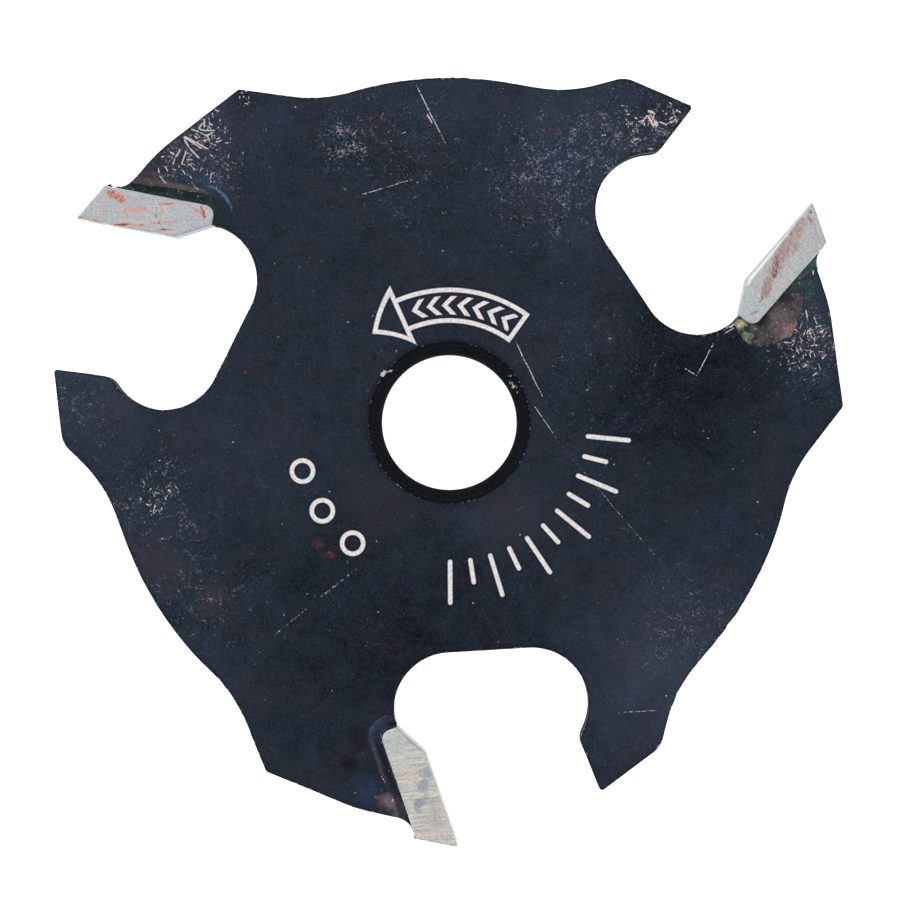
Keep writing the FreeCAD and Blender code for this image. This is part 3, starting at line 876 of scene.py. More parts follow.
def bore_rings(shell):
    """The rings of the bore and its two chamfers, from the upper face to the lower one."""
    angles = np.arange(BORE_DIVISIONS) * 2 * math.pi / BORE_DIVISIONS
    around = np.column_stack((np.cos(angles), np.sin(angles)))
    mouth = BORE_RADIUS + BORE_CHAMFER
    foot = FACE - BORE_CHAMFER
    level = FACE - UNEVENNESS
    # Each ring is (radius, height, share of the bore's darker turned colour, which is partly painted shade,
    # and strength of the painted shade and highlight of a broken edge)
    half = [(mouth + MOUTH_BAND, level, 0, 0), (mouth + 0.03, level, 0, 0.6)]
    half.append((mouth - 0.02, FACE - 0.022, 1, 1))
    for share in (0.12, 0.25, 0.37, 0.5, 0.63, 0.75, 0.88):
        half.append((mouth - BORE_CHAMFER * share, FACE - BORE_CHAMFER * share, 1, 0))
    half += [(BORE_RADIUS + 0.03, foot + 0.03, 1, 0.4), (BORE_RADIUS, foot - 0.03, 1, 0)]
    half.append((BORE_RADIUS, foot / 2, 1, 0))
    rings = []
    for side, profile in ((1, half), (-1, half[::-1])):
        for radius, height, dark, shine in profile:
            wobble = 0.006 * wander(around * radius, 0.8, 7 + side) * dark
            plan = around * (radius + wobble)[:, None]
            points = np.column_stack((plan, np.full(BORE_DIVISIONS, side * height)))
            strength, warmth = scratch_and_highlight_field(plan, BORE_NICKS if side > 0 else [])
            marks = {"rim": shine, "bore": dark, "tip_gap": FAR_GAP, "scratch": strength, "warmth": warmth}
            rings.append(shell.add(points, **marks))
    return rings


def body_plan(rim, corners, mouth_radius):
    """The points that divide each face of the body: finer along the rim, round seats and on scratches."""
    kept = []
    for step, near, far, seat_low, seat_high in (
        (SEAT_BAND_STEP, 0.2, math.inf, 0.0, 1.9),
        (RIM_BAND_STEP, 0.3, 1.0, 2.0, math.inf),
        (FACE_STEP, 1.05, math.inf, 2.0, math.inf),
    ):
        grid = grid_points(corners.min(0), corners.max(0), step)
        from_bore = np.linalg.norm(grid, axis=1) - mouth_radius
        gap = tip_gap(grid)
        grid = grid[inside(grid, corners) & (from_bore > near) & (gap > seat_low) & (gap <= seat_high)]
        away = np.minimum(rim.depth(grid)[1], np.linalg.norm(grid, axis=1) - mouth_radius)
        kept.append(grid[(away > near) & (away <= far)])
    plan = {}
    for side in (1, -1):
        rows = scratch_rows(ALL_SCRATCHES_AND_HIGHLIGHTS[side])
        clear = inside(rows, corners) & (np.linalg.norm(rows, axis=1) > mouth_radius + 0.05)
        rows = rows[clear & (rim.depth(rows)[1] > 0.2)]
        plan[side] = np.concatenate((*kept, rows))
    return plan


def steel_body(material):
    """The body as one closed mesh."""
    shell = Shell("rim", "bore", "wall", "tip_gap", "scratch", "warmth", "tone", "haze")
    corners = section_loops(BODY_NODE)[0]
    clean, _ = followed(corners, OUTLINE_STEP, 40.0)
    outline = roughened(clean, outward(clean))
    growth = {side: edge_growth(outline, 11 + side, NICK_COUNT) for side in (1, -1)}
    rim = Rim(outline, BODY_EDGE, growth)
    bore = bore_rings(shell)
    shell.stack(bore, inward=True)
    plan = body_plan(rim, corners, BORE_RADIUS + BORE_CHAMFER + MOUTH_BAND)
    holes = {1: [bore[0]], -1: [bore[-1]]}
    flat_piece(shell, rim, plan, body_height, body_marks, WALL_ROWS, holes)
    return shell.piece("steel_body", material, BODY_NODE)


# ---------------------------------------------------------------- the tips

def tip_frame(wing):
    """A tip's cutting corner, the direction along its rake face and the direction back from that face."""
    corners = TIP_CORNERS[wing]
    first = np.argmax(np.linalg.norm(corners, axis=1))
    along = corners[(first + 1) % len(corners)] - corners[first]
    along /= np.linalg.norm(along)
    return corners[first], along, np.array((-along[1], along[0]))


def local(wing, points):
    """Points in a tip's own terms: distance along the rake face from the corner, and back from that face."""
    corner, along, back = tip_frame(wing)
    return (points - corner) @ along, (points - corner) @ back


def tip_planes(wing):
    """The heights of the tip's two sloping faces, as a + b x + c y, from the CAD model."""
    points = np.array([v.co for v in frame["nodes"][f"carbide_tip_{wing}"].data.vertices]) / MM
    planes = {}
    for side in (1, -1):
        found = points[points[:, 2] * side > 0]
        terms = np.column_stack((np.ones(len(found)), found[:, :2]))
        planes[side] = np.linalg.lstsq(terms, found[:, 2] * side, rcond=None)[0]
    return planes


def chipped(wing, points, out):
    """The tip's outline with a slight grinding wander and the chips in its cutting edge."""
    along, back = local(wing, points)
    move = 0.006 * wander(points, 0.5, 30 + wing)
    for place, width, depth in TIP_CHIPS[wing]:
        shape = np.clip(1 - np.abs(along - place) / width, 0, 1) ** 0.7
        move -= depth * shape * (back < 0.2) * (1 + 0.4 * wander(points, 0.12, 40 + wing))
    return points + out * move[:, None]


def strip_depth(wing, points):
    """How far each point lies inside the ground strip along one of the tip's edges; negative beyond it."""
    start, end, widths = TIP_STRIPS[wing][:3]
    along, back = local(wing, points)
    run = np.subtract(end, start)
    length = np.linalg.norm(run)
    place = ((along - start[0]) * run[0] + (back - start[1]) * run[1]) / length
    from_edge = ((back - start[1]) * run[0] - (along - start[0]) * run[1]) / length
    return np.interp(place / length, (0, 0.5, 1), widths) - from_edge


def tip_height(wing):
    """A function for the height of a tip's faces: sloping planes, with a strip ground away."""
    planes = tip_planes(wing)
    slope = TIP_STRIPS[wing][3]

    def height(points, side):
        level = planes[side] @ np.vstack((np.ones(len(points)), points.T))
        level -= slope * np.clip(strip_depth(wing, points), 0, None)
        return level - 0.002 + 0.002 * wander(points, 0.7, 50 + wing + side)

    return height


def hard_tip(wing, material):
    """One tip as a closed mesh."""
    shell = Shell("rim", "wall", "strip")
    clean, _ = followed(TIP_CORNERS[wing], TIP_STEP, 25.0)
    outline = chipped(wing, clean, outward(clean))
    growth = {side: edge_growth(outline, 60 + 2 * wing + side, 14) for side in (1, -1)}
    rim = Rim(outline, TIP_EDGE, growth)
    grid = grid_points(outline.min(0), outline.max(0), TIP_GRID)
    grid = grid[inside(grid, outline)]
    plan = grid[rim.depth(grid)[1] > 0.1]
    plan = plan[np.abs(strip_depth(wing, plan)) >= 0.6 * TIP_GRID]
    plan = np.concatenate((plan, strip_border(wing, rim)))

    def marks(points, side):
        return {"strip": np.clip(strip_depth(wing, points) / 0.03, 0, 1) * (side != 0)}

    flat_piece(shell, rim, {1: plan, -1: plan}, tip_height(wing), marks, TIP_ROWS, {1: [], -1: []})
    return shell.piece(f"tip_{wing}", material, f"carbide_tip_{wing}")


def strip_border(wing, rim):
    """Two rows of points along the inner border of the tip's ground strip."""
    corner, along, back = tip_frame(wing)
    start, end, widths = TIP_STRIPS[wing][:3]
    run = np.subtract(end, start)
    length = np.linalg.norm(run)
    share = np.arange(0.5 * TIP_GRID, length, TIP_GRID) / length
    rows = []
    for shift in (-0.012, 0.012):
        inset = np.interp(share, (0, 0.5, 1), widths) + shift
        place = np.add(start, share[:, None] * run) + inset[:, None] * np.array((-run[1], run[0])) / length
        rows.append(corner + place[:, :1] * along + place[:, 1:] * back)
    rows = np.concatenate(rows)
    return rows[(rim.depth(rows)[1] > 0.09) & inside(rows, rim.points)]


# ---------------------------------------------------------------- the braze

def braze_path(wing):
    """Points round the buried edge of a tip, from the gullet past the root to the outer back corner."""
    corners = TIP_CORNERS[wing]
    first = np.argmax(np.linalg.norm(corners, axis=1))
    corners = np.roll(corners, -first, axis=0)
    points, run = followed(corners, BRAZE_STEP, 25.0)
    kept = points[(run >= 2) & (run < len(corners) - 1)]
    return np.vstack((kept, corners[-1]))


def reach_to(points, directions, loop, limit):
    """How far along its direction each point is from a closed outline's last crossing, within a limit."""
    reach = np.zeros(len(points))
    for a, b in zip(loop, np.roll(loop, -1, axis=0)):
        run = b - a
        across = directions[:, 0] * run[1] - directions[:, 1] * run[0]
        across = np.where(np.abs(across) < 1e-9, 1e-9, across)
        gap = a - points
        away = (gap[:, 0] * run[1] - gap[:, 1] * run[0]) / across
        share = (gap[:, 0] * directions[:, 1] - gap[:, 1] * directions[:, 0]) / across
        hit = (share >= 0) & (share <= 1) & (away > 0) & (away < limit)
        reach = np.where(hit, np.maximum(reach, away), reach)
    return reach


class BrazeSweep:
    """The section of one tip's braze, swept round the tip's buried edge."""

    def __init__(self, wing):
        self.wing = wing
        self.path = braze_path(wing)
        run = np.gradient(self.path, axis=0)
        self.sides = np.column_stack((run[:, 1], -run[:, 0])) / np.linalg.norm(run, axis=1)[:, None]
        steps = np.linalg.norm(np.diff(self.path, axis=0), axis=1)
        self.travel = np.concatenate(([0], np.cumsum(steps)))
        self.along = local(wing, self.path)[0]
        self.film = self.film_thickness()
        seated = 1 - smooth_step(self.film, 0.1, 0.16)
        self.seated = seated * smooth_step(self.along, 2.2, 2.6)

    def film_thickness(self):
        """How thick the alloy is at mid-height: the seat's film, the heel fillet and the burrs beyond it."""
        film = reach_to(self.path, self.sides, section_loops(f"braze_joint_{self.wing}")[0], 1.0)
        for place, spread, size in BRAZE_BURRS[self.wing]:
            film = np.maximum(film, size * np.exp(-(((self.along - place) / spread) ** 2)))
        return np.maximum(film, 0.012)

    def column(self, offset, level):
        """The row of points at an offset from the tip and a height."""
        plan = self.path + self.sides * np.broadcast_to(offset, len(self.path))[:, None]
        return np.column_stack((plan, np.broadcast_to(level, len(self.path))))

    def bead_foot(self, seed):
        """How wide the bead spreads at each place, which outside the seat is only as wide as the film."""
        foot = np.interp(self.travel, *np.transpose(BEAD_WIDTHS[self.wing]))
        foot *= 1 + 0.16 * wander(self.path, 0.8, seed)
        return np.where(self.seated < 0.5, self.film, np.maximum(foot, self.film))

    def bead_levels(self, foot, seed):
        """The heights of the bead's foot, which dips into the relief, and of its crest."""
        relief = SEAT_RELIEF_WIDTHS[self.wing]
        outside = smooth_step(foot, relief - RELIEF_STEP_WIDTH / 2, relief + RELIEF_STEP_WIDTH / 2)
        floor = BEAD_FLOOR + SEAT_RELIEF_DEPTH * outside * self.seated
        floor -= 0.015 + 0.05 * (1 - self.seated)
        crest = BEAD_CREST - 0.07 * (1 - self.seated) + 0.015 * wander(self.path, 0.6, seed + 20)
        return floor, crest

    def bead(self, side):
        """The rows of the bead on one face, from the tip outward."""
        seed = 70 + 3 * self.wing + side
        foot = self.bead_foot(seed)
        floor, crest = self.bead_levels(foot, seed)
        wide = smooth_step(foot, 0.7, 1.2) * self.seated
        rows = []
        for share, narrow_fall, wide_fall, open_fall in BEAD_SHAPE:
            fall = narrow_fall + (wide_fall - narrow_fall) * wide
            fall = open_fall + (fall - open_fall) * self.seated
            ripple = 0.01 * wander(self.path + 3.1 * share, 0.3, seed + 40) * (0 < share < 1)
            level = crest + (floor - crest) * fall + ripple
            rows.append((share, self.column(foot * share, side * level)))
        return rows

    def web(self):
        """The rows of the alloy's outer side between the two beads, from the top down."""
        rows = []
        for height in np.linspace(1, -1, 6) * (BEAD_FLOOR - 0.09):
            ripple = 1 + 0.12 * (1 - self.seated) * wander(self.path + height, 0.5, 99 + self.wing)
            rows.append((1.0, self.column(self.film * ripple, height)))
        return rows

    def rows(self):
        """All rows of the closed section, each with how far across the bead it is."""
        upper = self.bead(1)
        lower = self.bead(-1)[::-1]
        inner = [(0.0, self.column(-0.01, rows[1][:, 2])) for rows in (lower[-1], upper[0])]
        return upper + self.web() + lower + inner


def braze_joint(wing, material):
    """The braze of one tip as one closed mesh: film, beads and heel fillet."""
    shell = Shell("across")
    sweep = BrazeSweep(wing)
    rings = [shell.add(points, across=across) for across, points in sweep.rows()]
    for one, two in zip(rings, rings[1:] + rings[:1]):
        shell.bridge(one, two, closed=False)
    for end, forward in ((0, False), (-1, True)):
        cap = [ring[end] for ring in rings]
        offset = (np.array([shell.points[n][:2] for n in cap]) - sweep.path[end]) @ sweep.sides[end]
        flat = [Vector((x, shell.points[n][2], 0)) for x, n in zip(offset, cap)]
        faces = geometry.tessellate_polygon([flat])
        turn = sum((flat[b] - flat[a]).cross(flat[c] - flat[a]).z for a, b, c in faces)
        order = -1 if (turn > 0) == forward else 1
        shell.faces += [tuple(cap[corner] for corner in face)[::order] for face in faces]
    return shell.piece(f"braze_{wing}", material, f"braze_joint_{wing}")


# ---------------------------------------------------------------- shading

def colour(red, green, blue):
    """A colour given as a screen shows it, from 0 to 255, in the linear numbers that a shader takes."""
    return (*(((c / 255 + 0.055) / 1.055) ** 2.4 for c in (red, green, blue)), 1.0)


class Graph:
    """A material's node tree, grown value by value. A value is a socket, a number, a point or a colour."""

    def __init__(self, name):
        self.material = bpy.data.materials.new(name)
        self.material.use_nodes = True
        self.tree = self.material.node_tree
        self.shader = self.tree.nodes["Principled BSDF"]
        spot = self.node("ShaderNodeTexCoord").outputs["Object"]
        self.spot = self.vector("SCALE", spot, scale=1 / MM)
        self.plan = self.vector("MULTIPLY", self.spot, (1, 1, 0))
        self.height = self.node("ShaderNodeSeparateXYZ", {"Vector": self.spot}).outputs["Z"]

    def node(self, kind, inputs=None, **settings):
        """Adds a node with its settings and the values of its inputs."""
        made = self.tree.nodes.new(kind)
        for name, value in settings.items():
            setattr(made, name, value)
        for key, value in (inputs or {}).items():
            self.feed(made.inputs[key], value)
        return made

    def feed(self, socket, value):
        """Links a socket's value to an input, or sets a plain one."""
        if isinstance(value, bpy.types.NodeSocket):
            self.tree.links.new(value, socket)
        else:
            socket.default_value = value

    def math(self, operation, a, b=0.0, c=0.0, clamp=False):
        inputs = {0: a, 1: b, 2: c}
        return self.node("ShaderNodeMath", inputs, operation=operation, use_clamp=clamp).outputs[0]

    def line(self, value, factor, plus):
        """A number times a factor, plus another number."""
        return self.math("MULTIPLY_ADD", value, factor, plus)

    def less(self, a, b):
        """One number less another."""
        return self.math("SUBTRACT", a, b)

    def over(self, base, factor, *tint):
        """A base colour with a plain colour, from 0 to 255, laid over it where the factor is 1."""
        return self.mix(factor, base, colour(*tint))

    def times(self, *values):
        """The product of several numbers."""
        return self.folded("MULTIPLY", values)

    def folded(self, operation, values):
        """One number made of several, taken in pairs."""
        result = values[0]
        for value in values[1:]:
            result = self.math(operation, result, value)
        return result

    def most(self, values):
        """The greatest of several numbers."""
        return self.folded("MAXIMUM", values)

    def least(self, values):
        """The smallest of several numbers."""
        return self.folded("MINIMUM", values)

    def vector(self, operation, a, b=(0, 0, 0), scale=1.0):
        made = self.node("ShaderNodeVectorMath", {0: a, 1: b, 3: scale}, operation=operation)
        number = operation in ("DOT_PRODUCT", "LENGTH", "DISTANCE")
        return made.outputs[1 if number else 0]

    def step(self, value, low, high):
        """0 at low, 1 at high and a smooth change between, whichever of the two is greater."""
        inputs = {"Value": value, "From Min": low, "From Max": high}
        made = self.node("ShaderNodeMapRange", inputs, interpolation_type="SMOOTHSTEP")
        return made.outputs["Result"]

    def mix(self, factor, a, b):
        """Colour a where the factor is 0, and b where it is 1."""
        return self.node("ShaderNodeMix", {0: factor, 6: a, 7: b}, data_type="RGBA").outputs[2]

    def attribute(self, name):
        return self.node("ShaderNodeAttribute", attribute_name=name).outputs["Fac"]

    def noise(self, scale, seed, detail=3.0, roughness=0.55, place=None):
        """Cloudy noise, mostly from 0.3 to 0.7, with the given number of hills per mm."""
        moved = self.vector("ADD", place or self.spot, (17.1 * seed, -9.3 * seed, 5.9 * seed))
        inputs = {"Vector": moved, "Scale": scale, "Detail": detail, "Roughness": roughness}
        return self.node("ShaderNodeTexNoise", inputs).outputs["Fac"]

    def sway(self, strength, *noise):
        """Noise about 0, times a strength."""
        return self.line(self.noise(*noise), 2 * strength, -strength)

    def patch(self, place, centre, radius, ruffle=0.0):
        """1 in the middle of a soft round patch and 0 outside it; ruffle pushes its edge about."""
        away = self.vector("DISTANCE", place, (*centre, 0))
        away = self.math("ADD", away, ruffle)
        return self.step(away, 1.35 * radius, 0.25 * radius)

    def stroke(self, place, start, end, width):
        """1 along a straight line and 0 beside it."""
        run = Vector((*end, 0)) - Vector((*start, 0))
        from_start = self.vector("SUBTRACT", place, (*start, 0))
        share = self.vector("DOT_PRODUCT", from_start, run / run.length_squared)
        share = self.math("ADD", share, 0.0, clamp=True)
        foot = self.vector("SCALE", tuple(run), scale=share)
        away = self.vector("DISTANCE", from_start, foot)
        return self.step(away, 0.7 * width, 0.25 * width)

    def cells(self, pitch, seed):
        """Random points, one in each cell: the way from the nearest, in mm, and its three random numbers."""
        place = self.vector("SCALE", self.plan, scale=1 / pitch)
        place = self.vector("ADD", place, (seed * 13.1, seed * 7.3, 0))
        made = self.node("ShaderNodeTexVoronoi", {"Vector": place, "Scale": 1.0}, voronoi_dimensions="2D")
        away = self.vector("SCALE", self.vector("SUBTRACT", place, made.outputs["Position"]), scale=pitch)
        chance = self.node("ShaderNodeSeparateColor", {"Color": made.outputs["Color"]}).outputs
        return away, (chance[0], chance[1], chance[2])

    def specks(self, pitch, radius, share, seed):
        """Small round dots in the given share of the cells, from faint to full."""
        away, chance = self.cells(pitch, seed)
        dot = self.step(self.vector("LENGTH", away), radius, 0.4 * radius)
        return self.times(dot, self.math("LESS_THAN", chance[0], share), chance[1])

    def finish(self, base, roughness, metallic, relief, depth):
        """Feeds the shader: colour, roughness, metal and the relief, whose full height is depth mm."""
        self.feed(self.shader.inputs["Base Color"], base)
        self.feed(self.shader.inputs["Roughness"], roughness)
        self.feed(self.shader.inputs["Metallic"], metallic)
        inputs = {"Height": relief, "Strength": 1.0, "Distance": depth * MM}
        self.feed(self.shader.inputs["Normal"], self.node("ShaderNodeBump", inputs).outputs["Normal"])
        return self.material


def etched_marks(graph):
    """How far, in mm, a place is outside the strokes of the marks: an arrow, ticks and three rings."""
    part = graph.node("ShaderNodeSeparateXYZ", {"Vector": graph.plan}).outputs
    radius = graph.vector("LENGTH", graph.plan)
    bearing = graph.math("DEGREES", graph.math("ARCTAN2", part["Y"], part["X"]))
    lines = [*arrow_mark(graph, radius, bearing), tick_marks(graph, radius, bearing), ring_marks(graph)]
    return graph.less(graph.least(lines), ETCH_HALF_WIDTH)


def arc_length(graph, radius, degrees):
    """The length of an arc of that radius and angle."""
    return graph.times(radius, degrees, math.pi / 180)


def arrow_mark(graph, radius, bearing):
    """The distances to the outline and the chevrons of a curved arrow, which points the way of turning."""
    inner, outer, overhang, tail, neck, point = ARROW
    half = (outer - inner) / 2
    beside = graph.math("ABSOLUTE", graph.less(radius, (inner + outer) / 2))
    before_tail = arc_length(graph, radius, graph.less(tail, bearing))
    past_neck = arc_length(graph, radius, graph.less(bearing, neck))
    shaft = graph.most([graph.less(beside, half), before_tail, past_neck])
    spread = (half + overhang) / (point - neck)
    length = math.radians(point - neck) * (inner + outer) / 2
    slant = math.cos(math.atan((half + overhang) / length))
    edge = graph.times(graph.line(graph.less(point, bearing), -spread, beside), slant)
    head = graph.math("MAXIMUM", edge, graph.times(past_neck, -1.0))
    outline = graph.math("ABSOLUTE", graph.math("MINIMUM", shaft, head))
    return outline, chevron_marks(graph, radius, bearing, beside, shaft)


def chevron_marks(graph, radius, bearing, beside, shaft):
    """The distance to the row of chevrons inside the arrow's shaft."""
    inner, outer, neck = ARROW[0], ARROW[1], ARROW[4]
    swept = graph.line(beside, 360 / math.pi / (inner + outer), bearing)
    fold = graph.math("PINGPONG", graph.less(swept, CHEVRON_START), CHEVRON_PITCH / 2)
    stroke = graph.times(arc_length(graph, radius, fold), CHEVRON_SLANT)
    before_neck = arc_length(graph, radius, graph.less(swept, neck - CHEVRON_PITCH / 2))
    return graph.most([stroke, graph.math("ADD", shaft, CHEVRON_MARGIN + ETCH_HALF_WIDTH), before_neck])


def tick_marks(graph, radius, bearing):
    """The distance to a row of radial ticks with round ends, long and short in turn."""
    inner, short, long, start, pitch, count = TICKS
    place = graph.math("DIVIDE", graph.less(bearing, start - pitch / 2), pitch)
    number = graph.math("FLOOR", place)
    beside = graph.less(graph.less(place, number), 0.5)
    beside = arc_length(graph, radius, graph.times(beside, pitch))
    odd = graph.math("MODULO", number, 2.0)
    end = graph.line(odd, short - long, long)
    beyond = graph.most([graph.less(inner, radius), graph.less(radius, end), 0.0])
    away = graph.vector("LENGTH", graph.node("ShaderNodeCombineXYZ", {"X": beside, "Y": beyond}).outputs[0])
    unused = graph.math("COMPARE", number, (count - 1) / 2, count / 2)
    return graph.math("ADD", away, graph.line(unused, -NO_TICK, NO_TICK))


def ring_marks(graph):
    """The distance to small rings in a row on a circle round the bore."""
    orbit, size, start, pitch, count = RINGS
    lines = []
    for i in range(count):
        angle = math.radians(start + i * pitch)
        away = graph.vector("DISTANCE", graph.plan, (orbit * math.cos(angle), orbit * math.sin(angle), 0))
        lines.append(graph.math("ABSOLUTE", graph.less(away, size)))
    return graph.least(lines)


def steel_tone(graph, light, haze, mottle, grain):
    """The steel's colour: a cloudy blue-black, with more grain where the face is hazy, scaled by the patches
    of painted light and shade.
    """
    hue = graph.noise(0.35, 4, 4.0)
    base = graph.mix(graph.step(hue, 0.34, 0.52), colour(44, 46, 58), colour(40, 47, 58))
    base = graph.over(base, graph.step(hue, 0.52, 0.7), 42, 48, 64)
    tone = graph.math("ADD", graph.line(mottle, 1.2, 0.38), graph.times(grain, graph.line(haze, 3.0, 1.6)))
    return graph.vector("SCALE", base, scale=graph.math("ADD", tone, light))


def worn_places(graph, base, haze, speckle, upper):
    """The base colour with bare specks laid over it, thickest where the face is hazy, and a few red ones."""
    clumps = graph.noise(1.6, 6, 3.0, 0.6)
    worn = graph.math("ADD", graph.times(speckle, 0.8), graph.times(clumps, 0.5))
    worn = graph.step(graph.line(haze, 0.32, worn), 0.82, 1.02)
    warm = graph.step(graph.noise(1.9, 8), 0.42, 0.58)
    bare = graph.mix(warm, colour(124, 144, 164), colour(168, 154, 164))
    base = graph.mix(graph.times(worn, 0.85), base, bare)
    base = graph.over(base, graph.specks(1.4, 0.06, 0.1, 2), 168, 190, 200)
    return graph.over(base, graph.times(graph.specks(3.7, 0.07, 0.08, 3), upper), 206, 50, 50)


def machined_sides(graph, base, grain, wall):
    """The base colour with the turned bore, the milled walls and the broken edges laid over it: the bore
    darker, partly as painted shade on its chamfers, and the broken edges with painted shade and specks of
    painted highlight.
    """
    bore, rim = graph.attribute("bore"), graph.attribute("rim")
    from_axis = graph.node("ShaderNodeCombineXYZ", {"X": graph.vector("LENGTH", graph.plan)}).outputs[0]
    turned = graph.math("ADD", graph.noise(7.0, 15, 2.0, 0.6, from_axis), grain)
    # The turned bore and its chamfers are darker, partly as painted shade on the sloping chamfers
    turned = graph.mix(graph.step(turned, 0.4, 0.66), colour(20, 23, 29), colour(40, 45, 54))
    base = graph.mix(graph.times(bore, 0.9), base, turned)
    milled = graph.noise(1.0, 17, 3.0, 0.6, graph.vector("MULTIPLY", graph.spot, (0.5, 0.5, 7.0)))
    milled = graph.mix(graph.step(milled, 0.4, 0.64), colour(15, 16, 20), colour(44, 47, 55))
    base = graph.mix(graph.times(wall, 0.75), base, milled)
    # Specks of painted highlight along the broken edges
    bright = graph.times(graph.step(graph.noise(4.5, 9, 3.0, 0.65), 0.55, 0.68), graph.step(rim, 0.55, 0.95))
    # Painted shade on the broken edges
    base = graph.over(base, graph.times(rim, 0.6), 16, 19, 24)
    return graph.over(base, graph.times(bright, 0.7), 190, 180, 186)


def scratched(graph, base, scratch, warmth):
    """The base colour with the scratches, and the painted highlights drawn like them, laid over it, and how
    bare they leave the steel; the highlights count as bare too.
    """
    pitted = graph.line(graph.noise(8.0, 11, 1.0), 1.6, graph.less(scratch, 0.8))
    bare = graph.times(graph.step(pitted, 0.2, 0.65), graph.step(scratch, 0.0, 0.2))
    line = graph.mix(warmth, colour(150, 196, 206), colour(236, 190, 184))
    line = graph.over(line, graph.step(graph.noise(4.0, 12), 0.35, 0.65), 222, 214, 214)
    return graph.mix(bare, base, line), bare


def etched(graph, base, upper):
    """The base colour with the etched marks and their dark borders laid over it, and where the marks are."""
    outside = etched_marks(graph)
    marks = graph.times(graph.step(outside, 0.035, -0.035), upper)
    border = graph.times(graph.step(outside, 0.16, 0.05), upper, 0.5)
    warm = graph.step(graph.noise(3.2, 13), 0.4, 0.6)
    frost = graph.mix(warm, colour(204, 228, 234), colour(246, 214, 208))
    frost = graph.over(frost, graph.step(graph.noise(7.0, 14, 2.0), 0.36, 0.6), 254, 250, 250)
    base = graph.over(base, border, 22, 24, 30)
    return graph.mix(graph.times(marks, 0.95), base, frost), marks


def steel_material():
    """Blackened steel: cloudy blue-black, worn, scratched, tinted by heat and etched, with painted light and
    shade in patches, on the bore and on the broken edges, and painted highlights round the tips.
    """
    graph = Graph("blackened_steel")
    names = ("wall", "tip_gap", "scratch", "warmth", "tone", "haze")
    wall, gap, scratch, warmth, light, haze = (graph.attribute(name) for name in names)
    upper = graph.step(graph.height, 1.1, 1.3)
    mottle = graph.noise(0.9, 2, 5.0, 0.62)
    speckle = graph.noise(8.0, 7, 2.0, 0.75)
    grain = graph.less(speckle, 0.5)
    base = steel_tone(graph, light, haze, mottle, grain)
    base = tints_and_highlights(graph, base, gap, upper)
    base = worn_places(graph, base, haze, speckle, upper)
    base = machined_sides(graph, base, grain, wall)
    base, scratch = scratched(graph, base, scratch, warmth)
    base, marks = etched(graph, base, upper)
    bare = graph.math("MAXIMUM", marks, scratch)
    roughness = graph.line(wall, 0.5, graph.line(bare, 0.12, graph.line(mottle, 0.3, 0.32)))
    metallic = graph.times(graph.line(bare, -0.6, 0.9), graph.less(1.0, wall))
    graph.feed(graph.shader.inputs["Specular IOR Level"], 0.1)
    relief = graph.math("ADD", graph.times(grain, 0.5), mottle)
    relief = graph.less(relief, graph.times(graph.math("ADD", marks, scratch), 0.8))
    return graph.finish(base, roughness, metallic, relief, 0.012)


def tints_and_highlights(graph, base, gap, upper):
    """The base colour with the tints of heat and flux round the tips, and the painted highlights among them,
    laid over it.
    """
    ruffle = graph.sway(0.5, 1.6, 6, 4.0, 0.65)
    broken = graph.line(graph.step(graph.noise(3.2, 16, 4.0, 0.7), 0.36, 0.6), 0.6, 0.4)
    upper = graph.times(upper, broken)
    gap = graph.line(ruffle, 0.4, gap)
    for x, y, radius, low, high, tint, strength in HEAT_TINTS_AND_HIGHLIGHTS:
        factor = graph.patch(graph.plan, (x, y), radius, ruffle)
        if low > 0:
            factor = graph.times(factor, graph.step(gap, low - 0.08, low + 0.08))
        if high < FAR_GAP:
            factor = graph.times(factor, graph.step(gap, high + 0.08, high - 0.08))
        base = graph.over(base, graph.times(factor, strength, upper), *tint)
    return base


def tip_place(graph, wing):
    """The place on a tip in its own terms: along its rake face, back from it, and 0."""
    corner, along, back = tip_frame(wing)
    from_corner = graph.vector("SUBTRACT", graph.plan, (*corner, 0))
    inputs = {
        "X": graph.vector("DOT_PRODUCT", from_corner, (*along, 0)),
        "Y": graph.vector("DOT_PRODUCT", from_corner, (*back, 0)),
    }
    return graph.node("ShaderNodeCombineXYZ", inputs).outputs[0]


def stretched(graph, place, degrees, long, wide):
    """A place turned and squeezed, so that noise read there makes streaks along the given direction."""
    inputs = {"Vector": place, "Angle": math.radians(-degrees)}
    turned = graph.node("ShaderNodeVectorRotate", inputs, rotation_type="Z_AXIS")
    return graph.vector("MULTIPLY", turned.outputs[0], (1 / long, 1 / wide, 1))


def with_patches(graph, base, look, place, ruffle, extent):
    """The base colour with a look's soft round patches laid over it, as far as extent lets them."""
    for x, y, radius, tint, strength in look["patches"]:
        factor = graph.times(graph.patch(place, (x, y), radius, ruffle), strength, extent)
        base = graph.over(base, factor, *tint)
    return base


def tip_colour(graph, wing, place, ground, upper):
    """The ground metal's colour: clouds of two greys, streaks of a third, soft patches and a sheen."""
    look = TIP_LOOKS[wing]
    first, second, third = (colour(*c) for c in look["colours"])
    base = graph.mix(graph.step(graph.noise(0.7, 30 + wing, 4.0), 0.36, 0.64), first, second)
    base = graph.mix(graph.times(graph.step(ground, 0.42, 0.6), look["streaks"]), base, third)
    base = with_patches(graph, base, look, place, graph.sway(0.8, 2.2, 50 + wing, 4.0), upper)
    cool = graph.step(graph.noise(6.0, 45 + wing, 2.0), 0.36, 0.64)
    sheen = graph.mix(cool, colour(226, 186, 178), colour(164, 200, 206))
    return graph.mix(graph.times(upper, look["chroma"]), base, sheen)


